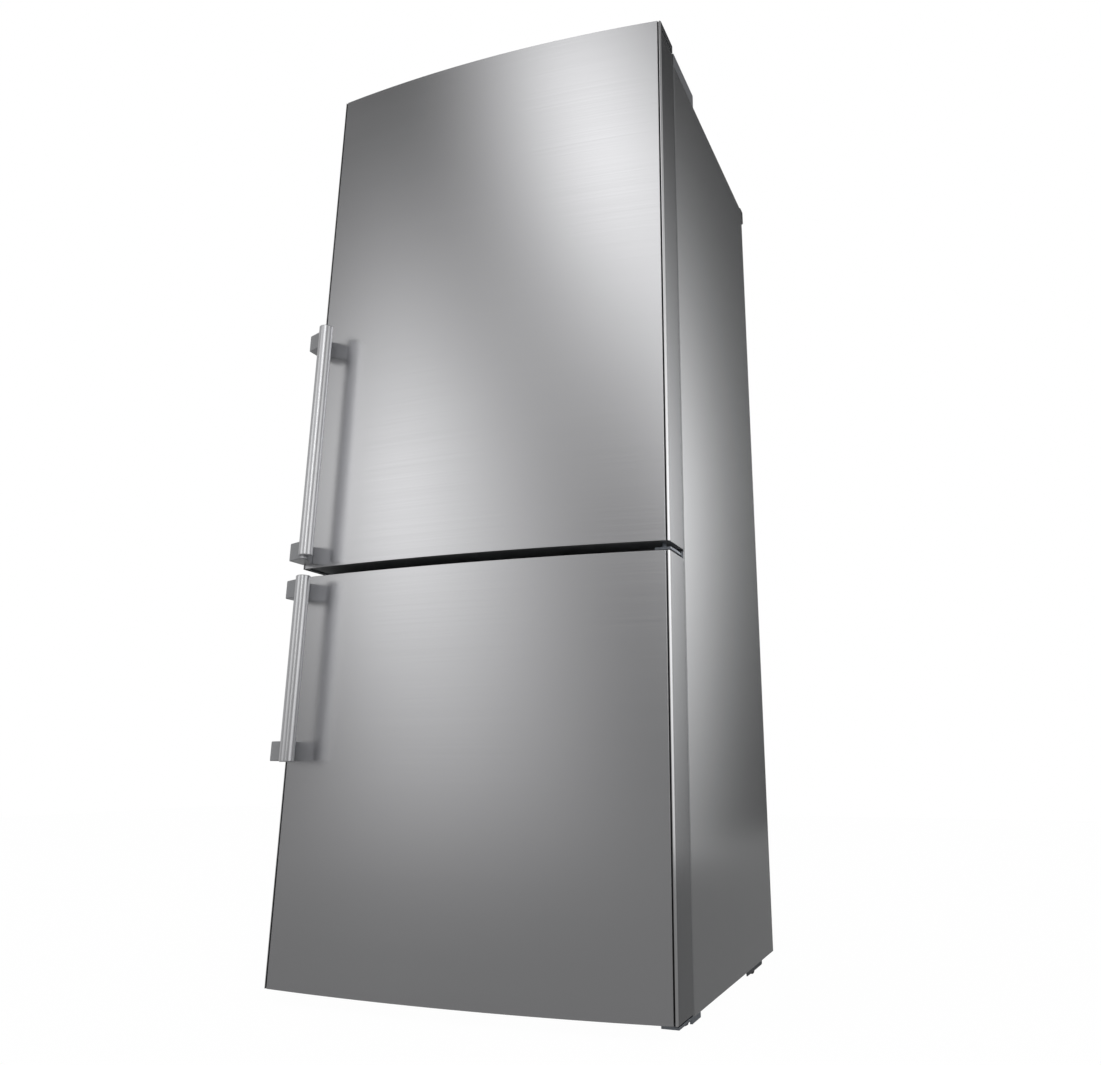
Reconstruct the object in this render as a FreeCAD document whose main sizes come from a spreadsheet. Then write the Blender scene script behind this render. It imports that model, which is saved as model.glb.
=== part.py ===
import FreeCAD, Part
import os
import re
import Sketcher

# A free-standing fridge freezer: a 70 cm cabinet with the fridge above and the freezer below,
# two bowed steel doors hung on the right, and an upright bar handle at the left of each door.
# Frame: +X right, +Y back, +Z up. The origin is on the floor, in the middle of the outline.

# Driving sizes in millimetres. Each is written once, and every piece reads it from the sheet.
SIZES = {
    # the two doors and the cabinet as the eye sees them
    "cabinet_width": 700.0,
    "cabinet_depth": 564.0,
    "foot_lift": 20.0,
    "lower_door_height": 671.5,
    "door_split": 15.5,
    "upper_door_height": 999.5,
    "door_overtop": 40.0,
    "side_drop": 4.0,
    "door_depth": 77.0,
    "door_bow": 22.3,
    "door_gap": 6.0,
    # sheet, walls and the spaces that they leave
    "shell_sheet": 0.8,
    "shell_return": 16.0,
    "liner_sheet": 2.0,
    "foam_joint": 0.5,
    "fridge_wall": 45.0,
    "freezer_wall": 60.0,
    "back_wall": 60.0,
    "floor_wall": 50.0,
    "step_wall": 50.0,
    "mullion_height": 50.0,
    "mullion_trim_height": 40.0,
    "base_rise": 22.0,
    "base_sheet": 1.5,
    "machine_depth": 230.0,
    "machine_height": 198.0,
    "machine_cover_sheet": 1.2,
    "ledge_width": 10.0,
    "ledge_height": 6.0,
    # door build
    "skin_sheet": 0.7,
    "skin_return": 12.0,
    "door_liner_sheet": 2.0,
    "dyke_width": 25.0,
    "dyke_depth": 28.0,
    "dyke_clearance": 8.0,
    "cap_height": 24.0,
    "top_cap_height": 42.0,
    "gasket_side_inset": 20.0,
    "gasket_end_inset": 3.0,
    "gasket_top_inset": 8.0,
    "gasket_bottom_inset": 30.0,
    "gasket_width": 12.0,
    # handles
    "handle_reach": 58.0,
    "handle_bar_radius": 12.5,
    "handle_bar_inset": 39.5,
    "mount_width": 22.0,
    "mount_side_reach": 39.0,
    "mount_front_reach": 50.0,
    "mount_front_width": 27.0,
    "mount_height": 32.0,
    "upper_bar_low": 13.5,
    "upper_bar_length": 443.0,
    "upper_mount_low": 7.5,
    "upper_mount_high": 414.0,
    "lower_bar_drop": 6.5,
    "lower_bar_length": 314.0,
    "lower_mount_lift": 1.3,
    "lower_mount_drop": 44.5,
    # hinges
    "hinge_inset": 19.0,
    "hinge_setback": 32.0,
    "hinge_pin_radius": 4.0,
    "hinge_pin_depth": 16.0,
    "hinge_plate": 4.0,
    "hinge_reach": 96.0,
    "hinge_side_inset": 4.0,
    "hinge_nose": 12.0,
    "hinge_face_height": 13.0,
    "hinge_screw_radius": 3.0,
    "hinge_screw_head_radius": 5.5,
    "hinge_screw_head": 2.5,
    "hinge_screw_pitch": 40.0,
    "arm_drop": 20.5,
    "arm_plate": 5.0,
    "arm_slack": 0.5,
    "arm_sweep_reach": 23.0,
    "arm_block_depth": 54.0,
    "top_plate_depth": 124.0,
    "hinge_cover_width": 104.0,
    "hinge_cover_depth": 137.0,
    "hinge_cover_height": 29.5,
    "hinge_cover_wall": 2.0,
    # what stands on the floor
    "foot_radius": 17.0,
    "foot_height": 8.0,
    "foot_stem_radius": 5.0,
    "foot_stem_top": 34.0,
    "foot_inset": 32.0,
    "foot_setback": 16.0,
    "foot_bracket_low": 11.0,
    "foot_bracket_depth": 48.0,
    "foot_bracket_cheek_drop": 6.0,
    "roller_radius": 15.0,
    "roller_width": 16.0,
    "roller_axle_radius": 3.0,
    "roller_setback": 416.0,
    "roller_inset": 15.0,
    "roller_cheek": 2.0,
    "roller_cheek_length": 143.0,
    "roller_cheek_taper": 12.0,
    "roller_cheek_lift": 6.3,
    "roller_slack": 1.0,
    "rear_stand": 18.0,
    "rear_stand_width": 32.0,
    "rear_stand_height": 26.0,
    "rear_stand_lip": 8.0,
    "rear_stand_lip_depth": 8.0,
    # machine room
    "compressor_radius": 76.0,
    "compressor_height": 168.0,
    "compressor_offset": 150.0,
    "compressor_foot_width": 210.0,
    "compressor_foot_depth": 120.0,
    "compressor_foot_sheet": 4.0,
    "compressor_skirt": 18.0,
    "compressor_dome": 40.0,
    "inlet_radius": 11.0,
    "inlet_bore_radius": 4.5,
    "inlet_length": 16.0,
    "inlet_inset": 50.0,
    "inlet_rise": 40.0,
    "vent_width": 8.0,
    "vent_height": 110.0,
    "vent_pitch": 22.0,
    "coil_tube_radius": 4.0,
    "coil_fin": 0.5,
    "coil_fin_pitch": 18.0,
    "coil_depth": 46.0,
    "condenser_width": 110.0,
    "condenser_height": 150.0,
    "condenser_inset": 20.0,
    "evaporator_width": 460.0,
    "evaporator_lift": 14.0,
    "evaporator_fan_gap": 49.25,
    "fan_radius": 55.0,
    "fan_hub_radius": 18.0,
    "fan_hub_length": 14.0,
    "fan_blade": 1.6,
    "fan_blade_chord": 22.0,
    "fan_motor_radius": 20.0,
    "fan_motor_length": 36.0,
    "fan_shaft_radius": 2.5,
    "fan_shaft_length": 18.0,
    "evaporator_fan_rise": 70.0,
    "condenser_fan_gap": 24.0,
    "condenser_fan_rise": 90.0,
    "fan_post_width": 12.0,
    # fridge room
    "shelf_setback": 115.0,
    "shelf_glass": 4.0,
    "shelf_trim_depth": 16.0,
    "shelf_trim_height": 12.0,
    "shelf_trim_bite": 10.0,
    "shelf_trim_drop": 4.0,
    "shelf_low": 385.0,
    "shelf_mid": 555.0,
    "shelf_high": 725.0,
    "crisper_cover_rise": 195.0,
    "crisper_cover_height": 12.0,
    "crisper_height": 184.0,
    "crisper_wall": 2.5,
    "crisper_front_wall": 10.0,
    "crisper_side_clearance": 12.0,
    "crisper_back_clearance": 12.0,
    "crisper_gap": 3.0,
    "duct_width": 220.0,
    "duct_depth": 25.0,
    "duct_low": 222.0,
    "duct_top_clearance": 30.0,
    "duct_slot_width": 60.0,
    "duct_slot_height": 9.0,
    "duct_slot_depth": 8.0,
    "duct_slot_rise": 36.0,
    "duct_slot_spread": 510.0,
    "panel_width": 220.0,
    "panel_setback": 132.0,
    "panel_depth": 66.0,
    "panel_height": 24.0,
    "button_width": 18.0,
    "button_depth": 12.0,
    "button_height": 8.0,
    "button_proud": 2.0,
    "button_travel": 1.5,
    "button_offset": 45.0,
    "lamp_width": 130.0,
    "lamp_depth": 70.0,
    "lamp_height": 9.0,
    "lamp_gap": 24.0,
    # what hangs on the upper door
    "bin_depth": 103.0,
    "bin_wall": 2.5,
    "bin_low_rise": 36.0,
    "bin_low_height": 110.0,
    "bin_mid_rise": 361.0,
    "bin_mid_height": 90.0,
    "dairy_rise": 770.0,
    "dairy_height": 84.0,
    "dairy_lip": 16.0,
    "flap_height": 62.0,
    "flap_thickness": 2.5,
    "flap_pin_radius": 2.0,
    "flap_pin_length": 2.0,
    "flap_pin_drop": 6.0,
    "flap_pin_inset": 4.0,
    # freezer room
    "drawer_setback": 30.0,
    "drawer_wall": 2.5,
    "drawer_front_wall": 12.0,
    "drawer_side_clearance": 16.0,
    "drawer_back_clearance": 10.0,
    "drawer_top_clearance": 8.0,
    "low_shelf_clearance": 9.5,
    "mid_bay_share": 0.625,
    "ice_bay": 70.75,
    "evaporator_room": 70.0,
    "evaporator_cover_sheet": 3.0,
    "grille_width": 90.0,
    "grille_slot": 10.0,
    "ice_plate": 4.0,
    "ice_frame_width": 68.0,
    "ice_frame_length": 220.0,
    "ice_setback": 60.0,
    "ice_axis_drop": 34.0,
    "ice_axle_radius": 5.0,
    "ice_tray_width": 50.0,
    "ice_tray_height": 22.0,
    "ice_tray_wall": 2.0,
    "ice_knob_radius": 14.0,
    "ice_knob_length": 12.0,
    # fits
    "seat": 0.3,
    "running_fit": 0.05,
    "glass_fit": 0.1,
    "overrun": 5.0,
}

# Places worked out from those sizes. "face" is the plane through the doors' front corners.
PLACES = {
    "half_width": "cabinet_width / 2",
    "face": "(handle_reach - door_depth - door_gap - cabinet_depth - rear_stand) / 2",
    "door_back": "face + door_depth",
    "cab_front": "door_back + door_gap",
    "cab_back": "cab_front + cabinet_depth",
    "lower_bottom": "foot_lift",
    "lower_top": "foot_lift + lower_door_height",
    "upper_bottom": "lower_top + door_split",
    "upper_top": "upper_bottom + upper_door_height",
    "cab_bottom": "foot_lift - side_drop",
    "cab_top": "upper_top - door_overtop",
    "bow_radius": "(half_width ^ 2 + door_bow ^ 2) / (2 * door_bow)",
    "bow_centre": "face - door_bow + bow_radius",
    "hinge_x": "half_width - hinge_inset",
    "hinge_y": "face + hinge_setback",
    "mullion_mid": "lower_top + door_split / 2",
    "fridge_floor": "mullion_mid + mullion_height / 2",
    "freezer_top": "mullion_mid - mullion_height / 2",
    "fridge_top": "cab_top - fridge_wall",
    "fridge_half": "half_width - fridge_wall",
    "freezer_half": "half_width - freezer_wall",
    "base_level": "cab_bottom + base_rise",
    "base_top": "base_level + base_sheet",
    "freezer_floor": "base_top + floor_wall",
    "inner_back": "cab_back - back_wall",
    "machine_front": "cab_back - machine_depth",
    "machine_top": "base_level + machine_height",
    "step_front": "machine_front - step_wall",
    "step_top": "machine_top + step_wall",
    "inside_shell": "half_width - shell_sheet",
    "inside_return": "half_width - shell_return",
    "liner_face": "cab_front + liner_sheet",
    "foam_back": "cab_back - shell_sheet",
    "shelf_front": "cab_front + shelf_setback",
    "shelf_back": "inner_back - duct_depth - seat",
    "crisper_level": "fridge_floor + crisper_cover_rise",
    "low_shelf": "step_top + low_shelf_clearance",
    "top_shelf": "freezer_top - ice_bay",
    "mid_shelf": "low_shelf + mid_bay_share * (top_shelf - low_shelf)",
    "low_bay": "low_shelf - freezer_floor",
    "mid_bay": "mid_shelf - low_shelf",
    "top_bay": "top_shelf - mid_shelf",
    "drawer_front": "cab_front + drawer_setback",
    "cover_back": "inner_back - evaporator_room",
    "cover_front": "cover_back - evaporator_cover_sheet",
    "bar_x": "handle_bar_inset - half_width",
    "bar_y": "face - handle_reach + handle_bar_radius",
    "lower_bar_low": "lower_door_height - lower_bar_drop - lower_bar_length",
    "lower_mount_low": "lower_bar_low + lower_mount_lift",
    "lower_mount_high": "lower_door_height - lower_mount_drop",
    "arm_top": "upper_top - arm_drop + arm_plate",
    "arm_low": "upper_top - arm_drop",
    "bracket_top": "foot_bracket_low + hinge_plate",
    "bracket_right": "half_width - hinge_side_inset",
    "bracket_left": "half_width - hinge_reach",
    "bracket_back": "cab_front + foot_bracket_depth",
    "foot_x": "half_width - foot_inset",
    "foot_y": "cab_front + foot_setback",
    "roller_x": "half_width - roller_inset",
    "roller_y": "cab_front + roller_setback",
    "skin_back": "door_back - skin_sheet",
    "flap_axis_y": "skin_back + seat + bin_depth - flap_pin_inset",
    "flap_axis_z": "fridge_floor + dairy_rise + dairy_height - flap_pin_drop",
    "ice_axis_z": "freezer_top - ice_axis_drop",
    "ice_front": "cab_front + ice_setback",
    "panel_front": "cab_front + panel_setback",
    "panel_low": "fridge_top - panel_height",
    "compressor_y": "cab_back - machine_depth / 2",
    "condenser_right": "condenser_inset + condenser_width - inside_shell",
    "condenser_fan_x": "condenser_right + condenser_fan_gap",
    "condenser_fan_z": "base_top + condenser_fan_rise",
    "evaporator_fan_z": "freezer_top - evaporator_fan_rise",
    "evaporator_low": "step_top + evaporator_lift",
    "evaporator_high": "evaporator_fan_z - fan_radius - evaporator_fan_gap",
}

# Counts, which do not grow with the sizes.
VENTS = 18
FAN_BLADES = 5
DUCT_SLOTS = 4
EVAPORATOR_ROWS = 8
CONDENSER_ROWS = 6

TURNS = {
    "X": FreeCAD.Rotation(FreeCAD.Vector(0, 1, 0), 90),
    "Y": FreeCAD.Rotation(FreeCAD.Vector(1, 0, 0), -90),
    "Z": FreeCAD.Rotation(),
}

doc = FreeCAD.newDocument("FridgeFreezer")
sheet = doc.addObject("Spreadsheet::Sheet", "Dims")
for row, (alias, size) in enumerate(SIZES.items(), start=1):
    sheet.set(f"A{row}", alias)
    sheet.set(f"B{row}", str(size))
    sheet.setAlias(f"B{row}", alias)
doc.recompute()


# Expressions: sizes and places are words, and the sheet gives their values.

def expand(text):
    """Write an expression with every place worked out and every size read from the sheet."""
    def swap(match):
        word = match.group(0)
        if word in PLACES:
            return "(" + expand(PLACES[word]) + ")"
        return "Dims." + word if word in SIZES else word
    return re.sub(r"[a-z_]+", swap, text)


def value(text):
    """The present value of an expression, in millimetres."""
    return float(sheet.evalExpression(expand(text)))


def bind(thing, **sizes):
    """Tie properties to expressions. Place parts are given as x, y and z."""
    for name, text in sizes.items():
        path = "Placement.Base." + name if name in "xyz" else name
        thing.setExpression(path, expand(text))
    return thing


# Plain solids and the ways to join them.

def box(x, y, z, label="Block"):
    """A block between pairs of expressions along X, Y and Z."""
    thing = doc.addObject("Part::Box", label)
    spans = {"Length": x, "Width": y, "Height": z}
    bind(thing, **{name: f"({high}) - ({low})" for name, (low, high) in spans.items()})
    return bind(thing, x=x[0], y=y[0], z=z[0])


def rod(axis, start, radius, length, label="Rod"):
    """A round bar that starts at a point and runs along +X, +Y or +Z."""
    thing = doc.addObject("Part::Cylinder", label)
    thing.Placement.Rotation = TURNS[axis]
    return bind(thing, Radius=radius, Height=length, x=start[0], y=start[1], z=start[2])


def fuse(*things, label="Joined"):
    result = doc.addObject("Part::MultiFuse", label)
    result.Shapes = list(things)
    result.Refine = True
    return result


def cut(base, *tools, label="Cut"):
    result = doc.addObject("Part::Cut", label)
    result.Base = base
    result.Tool = tools[0] if len(tools) == 1 else fuse(*tools)
    result.Refine = True
    return result


def common(first, second, label="Shared"):
    result = doc.addObject("Part::Common", label)
    result.Base = first
    result.Tool = second
    return result


def group(*things, label="Group"):
    """Separate solids kept side by side in one node."""
    result = doc.addObject("Part::Compound", label)
    result.Links = list(things)
    return result


def across(half):
    """A span along X that is the same on both sides of the middle."""
    return f"-({half})", half


def on_side(side, low, high):
    """A span along X on the right, or its mirror image on the left."""
    return (low, high) if side == "right" else (f"-({high})", f"-({low})")


# Sketched features.

def outline(body, plane, offset, points):
    """A closed outline of straight lines on an origin plane, each corner bound to the sheet."""
    sketch = body.newObject("Sketcher::SketchObject", "Outline")
    origin = [item for item in body.Origin.OriginFeatures if item.Role == plane + "_Plane"]
    sketch.AttachmentSupport = [(origin[0], "")]
    sketch.MapMode = "FlatFace"
    sketch.setExpression("AttachmentOffset.Base.z", expand(offset))
    corners = [FreeCAD.Vector(value(across_text), value(up_text), 0) for across_text, up_text in points]
    count = len(corners)
    for index in range(count):
        sketch.addGeometry(Part.LineSegment(corners[index], corners[(index + 1) % count]))
    for index in range(count):
        sketch.addConstraint(Sketcher.Constraint("Coincident", index, 2, (index + 1) % count, 1))
    for index, texts in enumerate(points):
        for kind, axis, text, place in zip(("DistanceX", "DistanceY"), (-2, -1), texts, corners[index]):
            if text == "0":
                sketch.addConstraint(Sketcher.Constraint("PointOnObject", index, 1, axis))
                continue
            row = sketch.addConstraint(Sketcher.Constraint(kind, -1, 1, index, 1, place))
            sketch.setExpression(f"Constraints[{row}]", expand(text))
    return sketch


def prism(plane, span, points, label="Prism"):
    """A pad of an outline. XY stands along Z, XZ along Y and YZ along X, over the given span."""
    body = doc.addObject("PartDesign::Body", label)
    low, high = span
    sketch = outline(body, plane, f"-({high})" if plane == "XZ" else low, points)
    pad = body.newObject("PartDesign::Pad", "Pad")
    pad.Profile = sketch
    bind(pad, Length=f"({high}) - ({low})")
    return body


def rectangle(x, y):
    return [(x[0], y[0]), (x[1], y[0]), (x[1], y[1]), (x[0], y[1])]


def tray(x, y, z, wall, front_wall, label):
    """An open-topped box: a padded block, and a pocket that leaves its walls and floor."""
    body = prism("XY", z, rectangle(x, y), label)
    inside = rectangle(
        (f"{x[0]} + {wall}", f"{x[1]} - {wall}"),
        (f"{y[0]} + {front_wall}", f"{y[1]} - {wall}"),
    )
    pocket = body.newObject("PartDesign::Pocket", "Inside")
    pocket.Profile = outline(body, "XY", z[1], inside)
    bind(pocket, Length=f"({z[1]}) - ({z[0]}) - {wall}")
    return body


# Cabinet: a folded steel wrap, the foam behind it and the two moulded rooms inside.

def cabinet_shell():
    """Sides and top in one folded sheet, turned in at the front, open below and behind."""
    block = box(across("half_width"), ("cab_front", "cab_back"), ("cab_bottom", "cab_top"))
    inside = box(
        across("inside_shell"),
        ("cab_front + shell_sheet", "cab_back + overrun"),
        ("cab_bottom - overrun", "cab_top - shell_sheet"),
    )
    window = box(
        across("inside_return"),
        ("cab_front - overrun", "cab_back"),
        ("cab_bottom - overrun", "cab_top - shell_return"),
    )
    return cut(block, inside, window, label="cabinet_shell")


def back_panel():
    span_z = ("machine_top", "cab_top - shell_sheet")
    return box(across("inside_shell"), ("foam_back", "cab_back"), span_z, "back_panel")


def cabinet_foam():
    """The insulation, one block for each wall, with a fine joint between neighbours."""
    fridge_side = "fridge_half + liner_sheet"
    freezer_side = "freezer_half + liner_sheet"
    fridge_sole = "fridge_floor - liner_sheet"
    freezer_lid = "freezer_top + liner_sheet"
    deep = ("liner_face", "foam_back")
    blocks = []
    for side in ("left", "right"):
        fridge_x = on_side(side, fridge_side, "inside_shell")
        freezer_x = on_side(side, freezer_side, "inside_shell")
        behind = ("machine_front + foam_joint", "foam_back")
        freezer_lid_end = f"{freezer_lid} - foam_joint"
        blocks.append(box(fridge_x, deep, (f"{fridge_sole} + foam_joint", "cab_top - shell_sheet")))
        blocks.append(box(freezer_x, ("liner_face", "machine_front"), ("base_top", freezer_lid_end)))
        blocks.append(box(freezer_x, behind, ("machine_top", freezer_lid_end)))
    fridge_x = across(f"{fridge_side} - foam_joint")
    freezer_x = across(f"{freezer_side} - foam_joint")
    riser_y = ("step_front + liner_sheet", "machine_front")
    step_y = ("step_front + liner_sheet", "foam_back")
    back_y = ("inner_back + liner_sheet", "foam_back")
    blocks.append(box(fridge_x, deep, ("fridge_top + liner_sheet", "cab_top - shell_sheet")))
    blocks.append(box(
        fridge_x, back_y, (f"{fridge_sole} + foam_joint", "fridge_top + liner_sheet - foam_joint")
    ))
    blocks.append(box(across("inside_shell"), deep, (freezer_lid, fridge_sole)))
    sole_y = ("liner_face", "machine_front")
    blocks.append(box(freezer_x, sole_y, ("base_top", "freezer_floor - liner_sheet")))
    blocks.append(box(
        freezer_x, riser_y, ("freezer_floor - liner_sheet + foam_joint", "machine_top - foam_joint")
    ))
    blocks.append(box(freezer_x, step_y, ("machine_top", "step_top - liner_sheet")))
    blocks.append(box(
        freezer_x, back_y, ("step_top - liner_sheet + foam_joint", f"{freezer_lid} - foam_joint")
    ))
    return group(*blocks, label="cabinet_foam")


def ledges(half, front, back, levels):
    """A pair of side ledges under each level, part of the moulded liner."""
    return [
        box(on_side(side, f"{half} - ledge_width", f"{half} + liner_sheet"), (front, back),
            (f"{level} - ledge_height", level))
        for level in levels
        for side in ("left", "right")
    ]


def fridge_levels():
    return [f"fridge_floor + {name}" for name in ("shelf_low", "shelf_mid", "shelf_high")]


def fridge_liner():
    room = box(
        across("fridge_half + liner_sheet"),
        ("cab_front", "inner_back + liner_sheet"),
        ("fridge_floor - liner_sheet", "fridge_top + liner_sheet"),
    )
    flange = box(
        across("inside_return"),
        ("cab_front", "liner_face"),
        ("mullion_mid + mullion_trim_height / 2", "cab_top - shell_return"),
    )
    space = box(across("fridge_half"), ("cab_front - overrun", "inner_back"), ("fridge_floor", "fridge_top"))
    hollow = cut(fuse(room, flange), space)
    behind_trim = "shelf_front + shelf_trim_depth + seat"
    shelf_ledges = ledges("fridge_half", behind_trim, "inner_back", fridge_levels())
    cover_ledges = ledges("fridge_half", "shelf_front", "inner_back", ["crisper_level"])
    return fuse(hollow, *shelf_ledges, *cover_ledges, label="fridge_liner")


def freezer_liner():
    """The lower room, with a step at its back over the machine room."""
    side = across("freezer_half + liner_sheet")
    lid = "freezer_top + liner_sheet"
    front = box(side, ("cab_front", "step_front + liner_sheet"), ("freezer_floor - liner_sheet", lid))
    rear = box(side, ("cab_front", "inner_back + liner_sheet"), ("step_top - liner_sheet", lid))
    flange = box(
        across("inside_return"),
        ("cab_front", "liner_face"),
        ("base_top", "mullion_mid - mullion_trim_height / 2"),
    )
    mouth = "cab_front - overrun"
    low_space = box(across("freezer_half"), (mouth, "step_front"), ("freezer_floor", "freezer_top"))
    high_space = box(across("freezer_half"), (mouth, "inner_back"), ("step_top", "freezer_top"))
    hollow = cut(fuse(front, rear, flange), low_space, high_space)
    levels = ["low_shelf", "mid_shelf", "top_shelf"]
    shelf_ledges = ledges("freezer_half", "drawer_front", "cover_front", levels)
    return fuse(hollow, *shelf_ledges, label="freezer_liner")


def mullion_trim():
    """The painted steel strip between the rooms, which the gaskets close on."""
    span_z = ("mullion_mid - mullion_trim_height / 2", "mullion_mid + mullion_trim_height / 2")
    return box(across("inside_return"), ("cab_front", "liner_face"), span_z, "mullion_trim")


# Base: floor plate, foot and roller brackets, and what stands on the floor.

def roller_bracket(side):
    """Two tapered cheeks under the floor plate, with the roller's axle across them."""
    cheek_low = "roller_cheek_lift"
    half_length = "roller_cheek_length / 2"
    points = [
        (f"roller_y - {half_length}", "base_level"),
        (f"roller_y - {half_length} + roller_cheek_taper", cheek_low),
        (f"roller_y + {half_length} - roller_cheek_taper", cheek_low),
        (f"roller_y + {half_length}", "base_level"),
    ]
    inner = "roller_x - roller_width / 2 - roller_slack"
    outer = "roller_x + roller_width / 2 + roller_slack"
    cheeks = [
        prism("YZ", on_side(side, f"{inner} - roller_cheek", inner), points),
        prism("YZ", on_side(side, outer, f"{outer} + roller_cheek"), points),
    ]
    start, end = on_side(side, f"{inner} - roller_cheek", f"{outer} + roller_cheek")
    axle = rod("X", (start, "roller_y", "roller_radius"), "roller_axle_radius", f"({end}) - ({start})")
    return [*cheeks, axle]


def foot_bracket(side):
    """A plate for the screw foot, held below the floor plate by a web and a side cheek."""
    plate_x = on_side(side, "bracket_left", "bracket_right")
    cheek_x = on_side(side, "bracket_right - hinge_plate", "bracket_right")
    plate_z = ("foot_bracket_low", "bracket_top")
    span_y = ("liner_face", "bracket_back")
    web_y = ("bracket_back - hinge_plate", "bracket_back")
    cheek_z = ("foot_bracket_low - foot_bracket_cheek_drop", "base_level")
    return [
        box(plate_x, span_y, plate_z),
        box(plate_x, web_y, ("foot_bracket_low", "base_level")),
        box(cheek_x, span_y, cheek_z),
    ]


def foot_hole(side):
    x = "foot_x" if side == "right" else "-(foot_x)"
    return rod("Z", (x, "foot_y", "foot_bracket_low - overrun"),
               "foot_stem_radius + running_fit", "hinge_plate + 2 * overrun")


def base_frame():
    span_y = ("liner_face", "cab_back - machine_cover_sheet")
    plate = box(across("inside_shell"), span_y, ("base_level", "base_top"))
    brackets = [*roller_bracket("left"), *roller_bracket("right"), *foot_bracket("left")]
    return cut(fuse(plate, *brackets), foot_hole("left"), label="base_frame")


def front_foot(side):
    """A screw foot: a broad pad on a threaded stem."""
    x = "foot_x" if side == "right" else "-(foot_x)"
    pad = rod("Z", (x, "foot_y", "0"), "foot_radius", "foot_height")
    stem = rod("Z", (x, "foot_y", "0"), "foot_stem_radius", "foot_stem_top")
    return fuse(pad, stem, label="front_foot_" + side)


def rear_roller(side):
    low, high = on_side(side, "roller_x - roller_width / 2", "roller_x + roller_width / 2")
    wheel = rod("X", (low, "roller_y", "roller_radius"), "roller_radius", f"({high}) - ({low})")
    bore = rod("X", (f"{low} - overrun", "roller_y", "roller_radius"),
               "roller_axle_radius + running_fit", "roller_width + 2 * overrun")
    return cut(wheel, bore, label="rear_roller_" + side)


def rear_spacers():
    """Black corner blocks at the top of the back that keep the wall away."""
    blocks = []
    for side in ("left", "right"):
        x = on_side(side, "half_width - rear_stand_width", "half_width")
        back = box(x, ("cab_back", "cab_back + rear_stand"), ("cab_top - rear_stand_height", "cab_top"))
        lip = box(x, ("cab_back - rear_stand_lip_depth", "cab_back + rear_stand"),
                  ("cab_top", "cab_top + rear_stand_lip"))
        blocks.append(fuse(back, lip))
    return group(*blocks, label="rear_spacers")


# Hinges: a bracket below, one between the doors and one on the cabinet's top.

def hinge_pin(start, length):
    return rod("Z", ("hinge_x", "hinge_y", start), "hinge_pin_radius", length)


def bottom_hinge():
    """Foot plate that runs forward under the lower door and carries its pin."""
    tongue = box(("hinge_x - hinge_nose", "bracket_right"), ("hinge_y - hinge_nose", "liner_face"),
                 ("foot_bracket_low", "bracket_top"))
    pin = hinge_pin("foot_bracket_low", "lower_bottom + hinge_pin_depth - foot_bracket_low")
    return cut(fuse(*foot_bracket("right"), tongue, pin), foot_hole("right"), label="bottom_hinge")


def middle_hinge():
    """A plate in the split between the doors, with a pin up and a pin down."""
    middle = ("mullion_mid - hinge_plate / 2", "mullion_mid + hinge_plate / 2")
    face_z = ("mullion_mid - hinge_face_height / 2", "mullion_mid + hinge_face_height / 2")
    plate = box(("hinge_x - hinge_nose", "bracket_right"), ("hinge_y - hinge_nose", "cab_front"), middle)
    flange = box(("bracket_left", "bracket_right"), ("cab_front - hinge_plate", "cab_front"), face_z)
    pin = hinge_pin("lower_top - hinge_pin_depth", "door_split + 2 * hinge_pin_depth")
    screws = [hinge_screw_hole("Y", place) for place in middle_screw_places()]
    return cut(fuse(plate, flange, pin), *screws, label="middle_hinge")


def middle_screw_places():
    return [(f"bracket_left + {offset}", "cab_front", "mullion_mid")
            for offset in ("hinge_face_height", "hinge_face_height + hinge_screw_pitch")]


def top_screw_places():
    return [
        ("bracket_left + hinge_face_height", f"cab_front + arm_block_depth + {offset}", "cab_top")
        for offset in ("hinge_face_height", "hinge_face_height + hinge_screw_pitch")
    ]


def hinge_screw_hole(axis, place):
    """A clearance hole through a hinge plate for one screw's shank."""
    x, y, z = place
    if axis == "Y":
        y = f"{y} - hinge_plate - overrun"
    else:
        z = f"{z} - overrun"
    return rod(axis, (x, y, z), "hinge_screw_radius + running_fit", "hinge_plate + 2 * overrun")


def hinge_screws():
    """Pan-headed screws of the middle and top hinges, each short of what it bites into."""
    screws = []
    for x, y, z in middle_screw_places():
        under_head = f"{y} - hinge_plate - hinge_screw_head"
        head = rod("Y", (x, under_head, z), "hinge_screw_head_radius", "hinge_screw_head")
        shank = rod("Y", (x, f"{y} - hinge_plate", z), "hinge_screw_radius", "hinge_plate")
        screws.append(fuse(head, shank))
    for x, y, z in top_screw_places():
        head = rod("Z", (x, y, f"{z} + hinge_plate"), "hinge_screw_head_radius", "hinge_screw_head")
        shank = rod("Z", (x, y, z), "hinge_screw_radius", "hinge_plate")
        screws.append(fuse(head, shank))
    return group(*screws, label="hinge_screws")


def top_hinge():
    """A plate and block on the cabinet, and an arm that reaches into the door's slot."""
    block_y = ("cab_front + hinge_plate", "cab_front + arm_block_depth")
    plate_y = ("cab_front + hinge_plate", "cab_front + top_plate_depth")
    plate = box(("bracket_left", "bracket_right"), plate_y, ("cab_top", "cab_top + hinge_plate"))
    arm_x = ("hinge_x - hinge_nose", "hinge_x + hinge_nose")
    block = box(arm_x, block_y, ("cab_top", "arm_top"))
    arm = box(arm_x, ("hinge_y", "cab_front + arm_block_depth"), ("arm_low", "arm_top"))
    nose = rod("Z", ("hinge_x", "hinge_y", "arm_low"), "hinge_nose", "arm_plate")
    pin = hinge_pin("arm_low - hinge_pin_depth", "hinge_pin_depth + arm_plate")
    screws = [hinge_screw_hole("Z", place) for place in top_screw_places()]
    return cut(fuse(plate, block, arm, nose, pin), *screws, label="top_hinge")


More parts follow.
